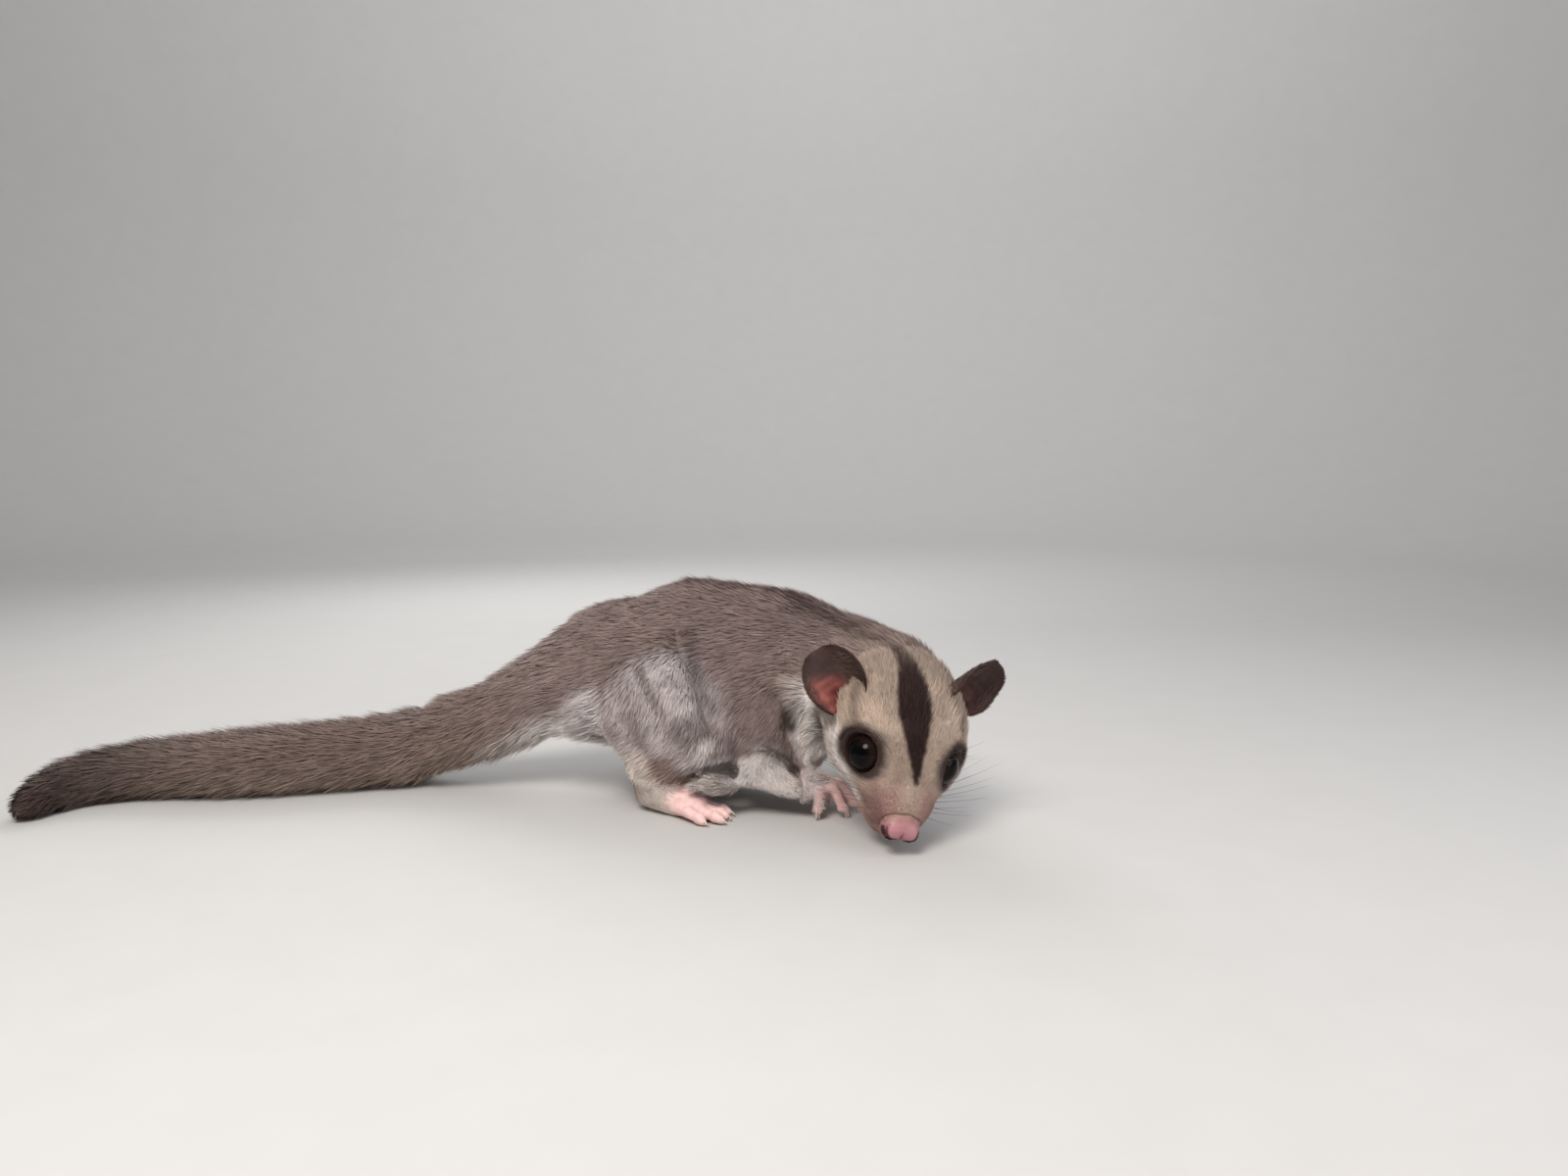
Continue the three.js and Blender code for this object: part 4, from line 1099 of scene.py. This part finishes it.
# The muzzle's short hair runs on over the rear of the pad
def noseHair(nose):
    mesh = nose.data
    places, local = verticesOf(mesh), headLocal(verticesOf(mesh))
    corners = trianglesOf(mesh)[0]
    # the map for baking is the pad seen from in front, 16 mm across
    flat = local[:, [0, 2]] / 16 + 0.5
    haired = fade(local[:, 1] + 0.25 * waves(places, 1.6, 61), 20.6, 22.2)
    number = noseShape["hairs"] * haired * 1
    tri, part, spot = sampleSurface(places, corners, flat[corners], number)
    root, normal = between(places, tri, part), unit(between(normalsOf(mesh), tri, part))
    back = -headForward + 0.15 * random.normal(size=(len(root), 3))
    flow = unit(back - normal * (back * normal).sum(1, keepdims=True))
    length = random.uniform(0.7, 1.2, len(root))
    colour = coatColour(root, normal, np.eye(len(fleshNodes))[np.zeros(len(root), int)])
    uneven = (1 + random.normal(0, 0.06, len(root)))[:, None]
    colour = mixed(colour, "muzzle", np.full(len(root), 0.6)) * uneven
    lift = random.uniform(0.35, 0.7, (len(root), 1))
    coatPiece("noseHair", "face_fur", root, normal, flow, length, np.full(len(root), 0.1), lift, colour,
              colour, spot)


noseHair(makeNose())
print("nose", flush=True)

# Ears: a curled sheet, dark outside and pink inside, with its own short hair
ears = {
    "length": 16, "width": 14.8, "thickness": 0.65,
    "R": {"root": (15.4, -6, 4.8), "along": (0.66, -0.64, 0.4), "facing": (0.34, 0.5, 0.8)},
    "L": {"root": (-11.6, -11, 7.2), "along": (-0.62, -0.42, 0.66), "facing": (-0.5, 0.72, 0.45)},
    "skin": "#3f2e2a", "pink": "#8c4f48", "deep": "#56201f", "leftInside": "#6b423c", "baseHair": "#8a7a70",
    # each kind of hair: how many, how far it spreads outwards, length, lift and colour
    "hairs": {"back": (5200, 0.1, 1.7, 0.55, "#463430"), "rim": (900, 0.55, 1.5, 0.3, "#4e3b36"),
              "inside": (300, -0.5, 3.2, 0.9, "#665148")},
}


# Places on the ear's middle sheet: u from base to tip, v from edge to edge
def earPlaces(side, sign, u, v):
    root = onHead(*ears[side]["root"])
    along = headwards(*ears[side]["along"])
    facing = headwards(*ears[side]["facing"])
    facing = unit(facing - along * (facing @ along))
    across = np.cross(along, facing) * sign
    width = ears["width"] / 2 * (0.62 + 0.38 * np.sin(np.pi / 2 * np.minimum(u * 2, 1)))
    width = width * np.sqrt(1 - np.clip((u - 0.35) / 0.65, 0, 0.999) ** 2.6)
    curl = np.radians(95 + (46 - 95) * smoothStep(u, 0, 0.75))
    angle = (v * 2 - 1) * curl
    bow = width / np.maximum(np.sin(np.minimum(curl, math.pi / 2)), 0.5)
    lean = -2 + 3.4 * u - 0.8 * u * u
    return (root + along * (u * ears["length"] - 2)[:, None] + across * (bow * np.sin(angle))[:, None]
            + facing * (lean + bow * (1 - np.cos(angle)))[:, None])


# Thin bare leather with fine veins
def earMaterial():
    sockets = {"Roughness": 0.72, "Specular IOR Level": 0.25, "Subsurface Weight": 0.2,
               "Subsurface Radius": (1.0, 0.3, 0.2), "Subsurface Scale": 0.0008}
    noise = {"Scale": 380, "Detail": 5, "Distortion": 1.2}
    material, tree, shader, _, veins = tonedMaterial("earLeather", sockets, noise, 0.8, 1.18)
    addBump(tree, shader, veins, 0.3, 0.0003)
    return material


earLeather = earMaterial()


def makeEar(name, node, side, sign):
    facing = headwards(*ears[side]["facing"])
    bm = bmesh.new()
    sheets = []
    for layer in (1, -1):
        made = bmesh.ops.create_grid(bm, x_segments=30, y_segments=34, size=1)
        spots = made["verts"]
        v = np.array([(s.co.x + 1) / 2 for s in spots])
        u = np.array([(s.co.y + 1) / 2 for s in spots]) * 0.985
        places = earPlaces(side, sign, u, v)
        du = earPlaces(side, sign, np.minimum(u + 0.01, 0.99), v) - earPlaces(side, sign, u - 0.01, v)
        dv = earPlaces(side, sign, u, np.minimum(v + 0.01, 1.01)) - earPlaces(side, sign, u, v - 0.01)
        out = unit(np.cross(du, dv)) * sign
        edge = np.clip(np.minimum(np.minimum(v, 1 - v) * 14, (1 - u) * 14), 0.35, 1)
        places = places + out * (layer * ears["thickness"] / 2 * edge)[:, None]
        # inside, a ridge from the base and the low cross folds beside it
        across = np.exp(-(((v - 0.62) / 0.05) ** 2)) * fade(u, 0.45, 0.75) * 0.7
        beside = smoothStep(u, 0.15, 0.3) * fade(u, 0.5, 0.75) * np.exp(-(((v - 0.35) / 0.18) ** 2))
        folds = 0.14 * np.sin(u * 44) * beside
        lump = 1.1 * np.exp(-(((v - 0.3) / 0.1) ** 2) - ((u - 0.2) / 0.08) ** 2)
        inward = (out @ facing)[:, None] * layer > 0
        places = places + np.where(inward, 1, 0) * facing * (across + folds + lump)[:, None]
        for s, p in zip(spots, toWorld(places)):
            s.co = p
        sheets.append((u, v))
    bmesh.ops.bridge_loops(bm, edges=[e for e in bm.edges if e.is_boundary])
    bmesh.ops.recalc_face_normals(bm, faces=bm.faces)
    mesh = smoothMesh(name, bm)
    u, v = np.concatenate(sheets, axis=1)
    places = verticesOf(mesh)
    first, second = np.split(places, 2)
    # 1 on the sheet that lies inside the cup
    inner = np.repeat((1.0, 0.0) if ((first - second) @ facing).mean() > 0 else (0.0, 1.0), len(first))
    tone = np.tile(linear(ears["skin"]), (len(places), 1))
    if side == "R":
        pink = inner * fade(u + 0.35 * v, 0.5, 0.8) * smoothStep(v, 0.02, 0.14) * fade(v, 0.5, 0.7)
        deep = inner * np.exp(-(((u - 0.26) / 0.13) ** 2) - ((v - 0.42) / 0.12) ** 2)
        tone = tinted(tinted(tone, ears["pink"], pink), ears["deep"], deep)
    else:
        tone = tinted(tone, ears["leftInside"], inner * 0.5 * fade(u, 0.1, 0.6))
    storeColour(mesh, "tone", tone)
    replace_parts(dressed(newObject(name, mesh), earLeather), node)


# Short hair on the back of the ear, a fringe on its rim and a few long hairs inside
def earHair(name, side, sign):
    rows = []
    for kind, (count, spread, long, rise, shade) in ears["hairs"].items():
        u, v = random.uniform(0.02, 0.93, count), random.uniform(0.02, 0.98, count)
        if kind == "rim":
            onTip = random.random(count) < 0.4
            u = np.where(onTip, random.uniform(0.9, 0.95, count), u)
            v = np.where(onTip, v, np.where(random.random(count) < 0.5, 0.015, 0.985))
        if kind == "inside":
            u = random.uniform(0.05, 0.75, count)
            v = np.where(random.random(count) < 0.7, random.uniform(0.75, 0.97, count),
                         random.uniform(0.03, 0.14, count))
        places = earPlaces(side, sign, u, v)
        along = unit(earPlaces(side, sign, np.minimum(u + 0.02, 0.98), v)
                     - earPlaces(side, sign, u - 0.02, v))
        across = unit(earPlaces(side, sign, u, v + 0.01) - earPlaces(side, sign, u, v - 0.01))
        normal = unit(np.cross(along, across)) * sign * (-1 if kind == "inside" else 1)
        outward = across * np.sign(v - 0.5)[:, None]
        flow = unit(along + spread * outward + random.normal(0, 0.14, (count, 3)))
        normal = unit(normal - flow * (normal * flow).sum(1, keepdims=True))
        length = long * random.uniform(0.7, 1.2, count) * (1 - 0.35 * u)
        colour = linear(shade) * (1 + random.normal(0, 0.14, count))[:, None]
        if kind == "back":
            colour = tinted(colour, ears["baseHair"], fade(u, 0.05, 0.4))
        lift = rise * random.uniform(0.7, 1.3, (count, 1))
        root = places + normal * ears["thickness"] * (0.4 if kind != "rim" else 0)
        rows.append((root, normal, flow, length, np.full(count, 0.12), lift, colour, colour,
                     np.stack([u, v], 1) * 0.9 + 0.05))
    coatPiece(name, "face_fur", *(np.concatenate(column) for column in zip(*rows)))


makeEar("earRight", "ear_R", "R", 1)
makeEar("earLeft", "ear_L", "L", -1)
earHair("earHairRight", "R", 1)
earHair("earHairLeft", "L", -1)
print("ears", flush=True)

# Room: a plain pale floor that sweeps up all round, and soft lights
room = {"flat": 0.8, "bend": 0.4, "rise": 0.95, "sky": 0.7}
# name, place and target in the animal's frame, size in metres, watts and colour
lamps = [
    ("keyLight", (-120, -330, 420), (0, -20, 25), 0.26, 2.3, "#fffaf2"),
    ("glintLight", (-112, -330, 415), (0, -20, 25), 0.022, 0.16, "#ffffff"),
    ("sideGlint", (-165, -330, 385), (0, -20, 25), 0.016, 0.04, "#ffffff"),
    ("wallLight", (0, 420, 700), (0, 1150, 560), 0.5, 3.6, "#ffffff"),
    ("fillLight", (360, -260, 220), (0, -10, 20), 0.4, 0.85, "#f2f6ff"),
    ("backLight", (-160, 380, 330), (0, 0, 30), 0.35, 1.1, "#ffffff"),
]


def makeRoom():
    flat, bend = room["flat"], room["bend"]
    profile = [(0, 0), (flat, 0)]
    profile += [(flat + bend * math.sin(a), bend * (1 - math.cos(a)))
                for a in np.linspace(0, math.pi / 2, 12)[1:]]
    profile.append((flat + bend, room["rise"]))
    mesh = smoothMesh("floor", spun(profile, 72))
    paper = mottledMaterial("palePaper", {"Roughness": 0.8}, {"Scale": 60, "Detail": 3}, "#b9b7b5",
                            "#bebcba")
    mesh.materials.append(paper)
    newObject("floor", mesh)
    world = bpy.data.worlds.new("studio")
    world.use_nodes = True
    sky = world.node_tree.nodes["Background"]
    sky.inputs["Color"].default_value = rgba("#eef0f4")
    sky.inputs["Strength"].default_value = room["sky"]
    bpy.context.scene.world = world
    for name, place, target, size, power, colour in lamps:
        data = bpy.data.lights.new(name, "AREA")
        data.shape = "DISK"
        data.size = size
        data.energy = power
        data.color = linear(colour)
        lamp = newObject(name, data)
        lamp.location = toWorld(place)
        lamp.rotation_euler = Vector(toWorld(target) - toWorld(place)).to_track_quat("-Z", "Y").to_euler()


makeRoom()
bpy.context.scene.view_settings.view_transform = "Standard"
print("room", flush=True)
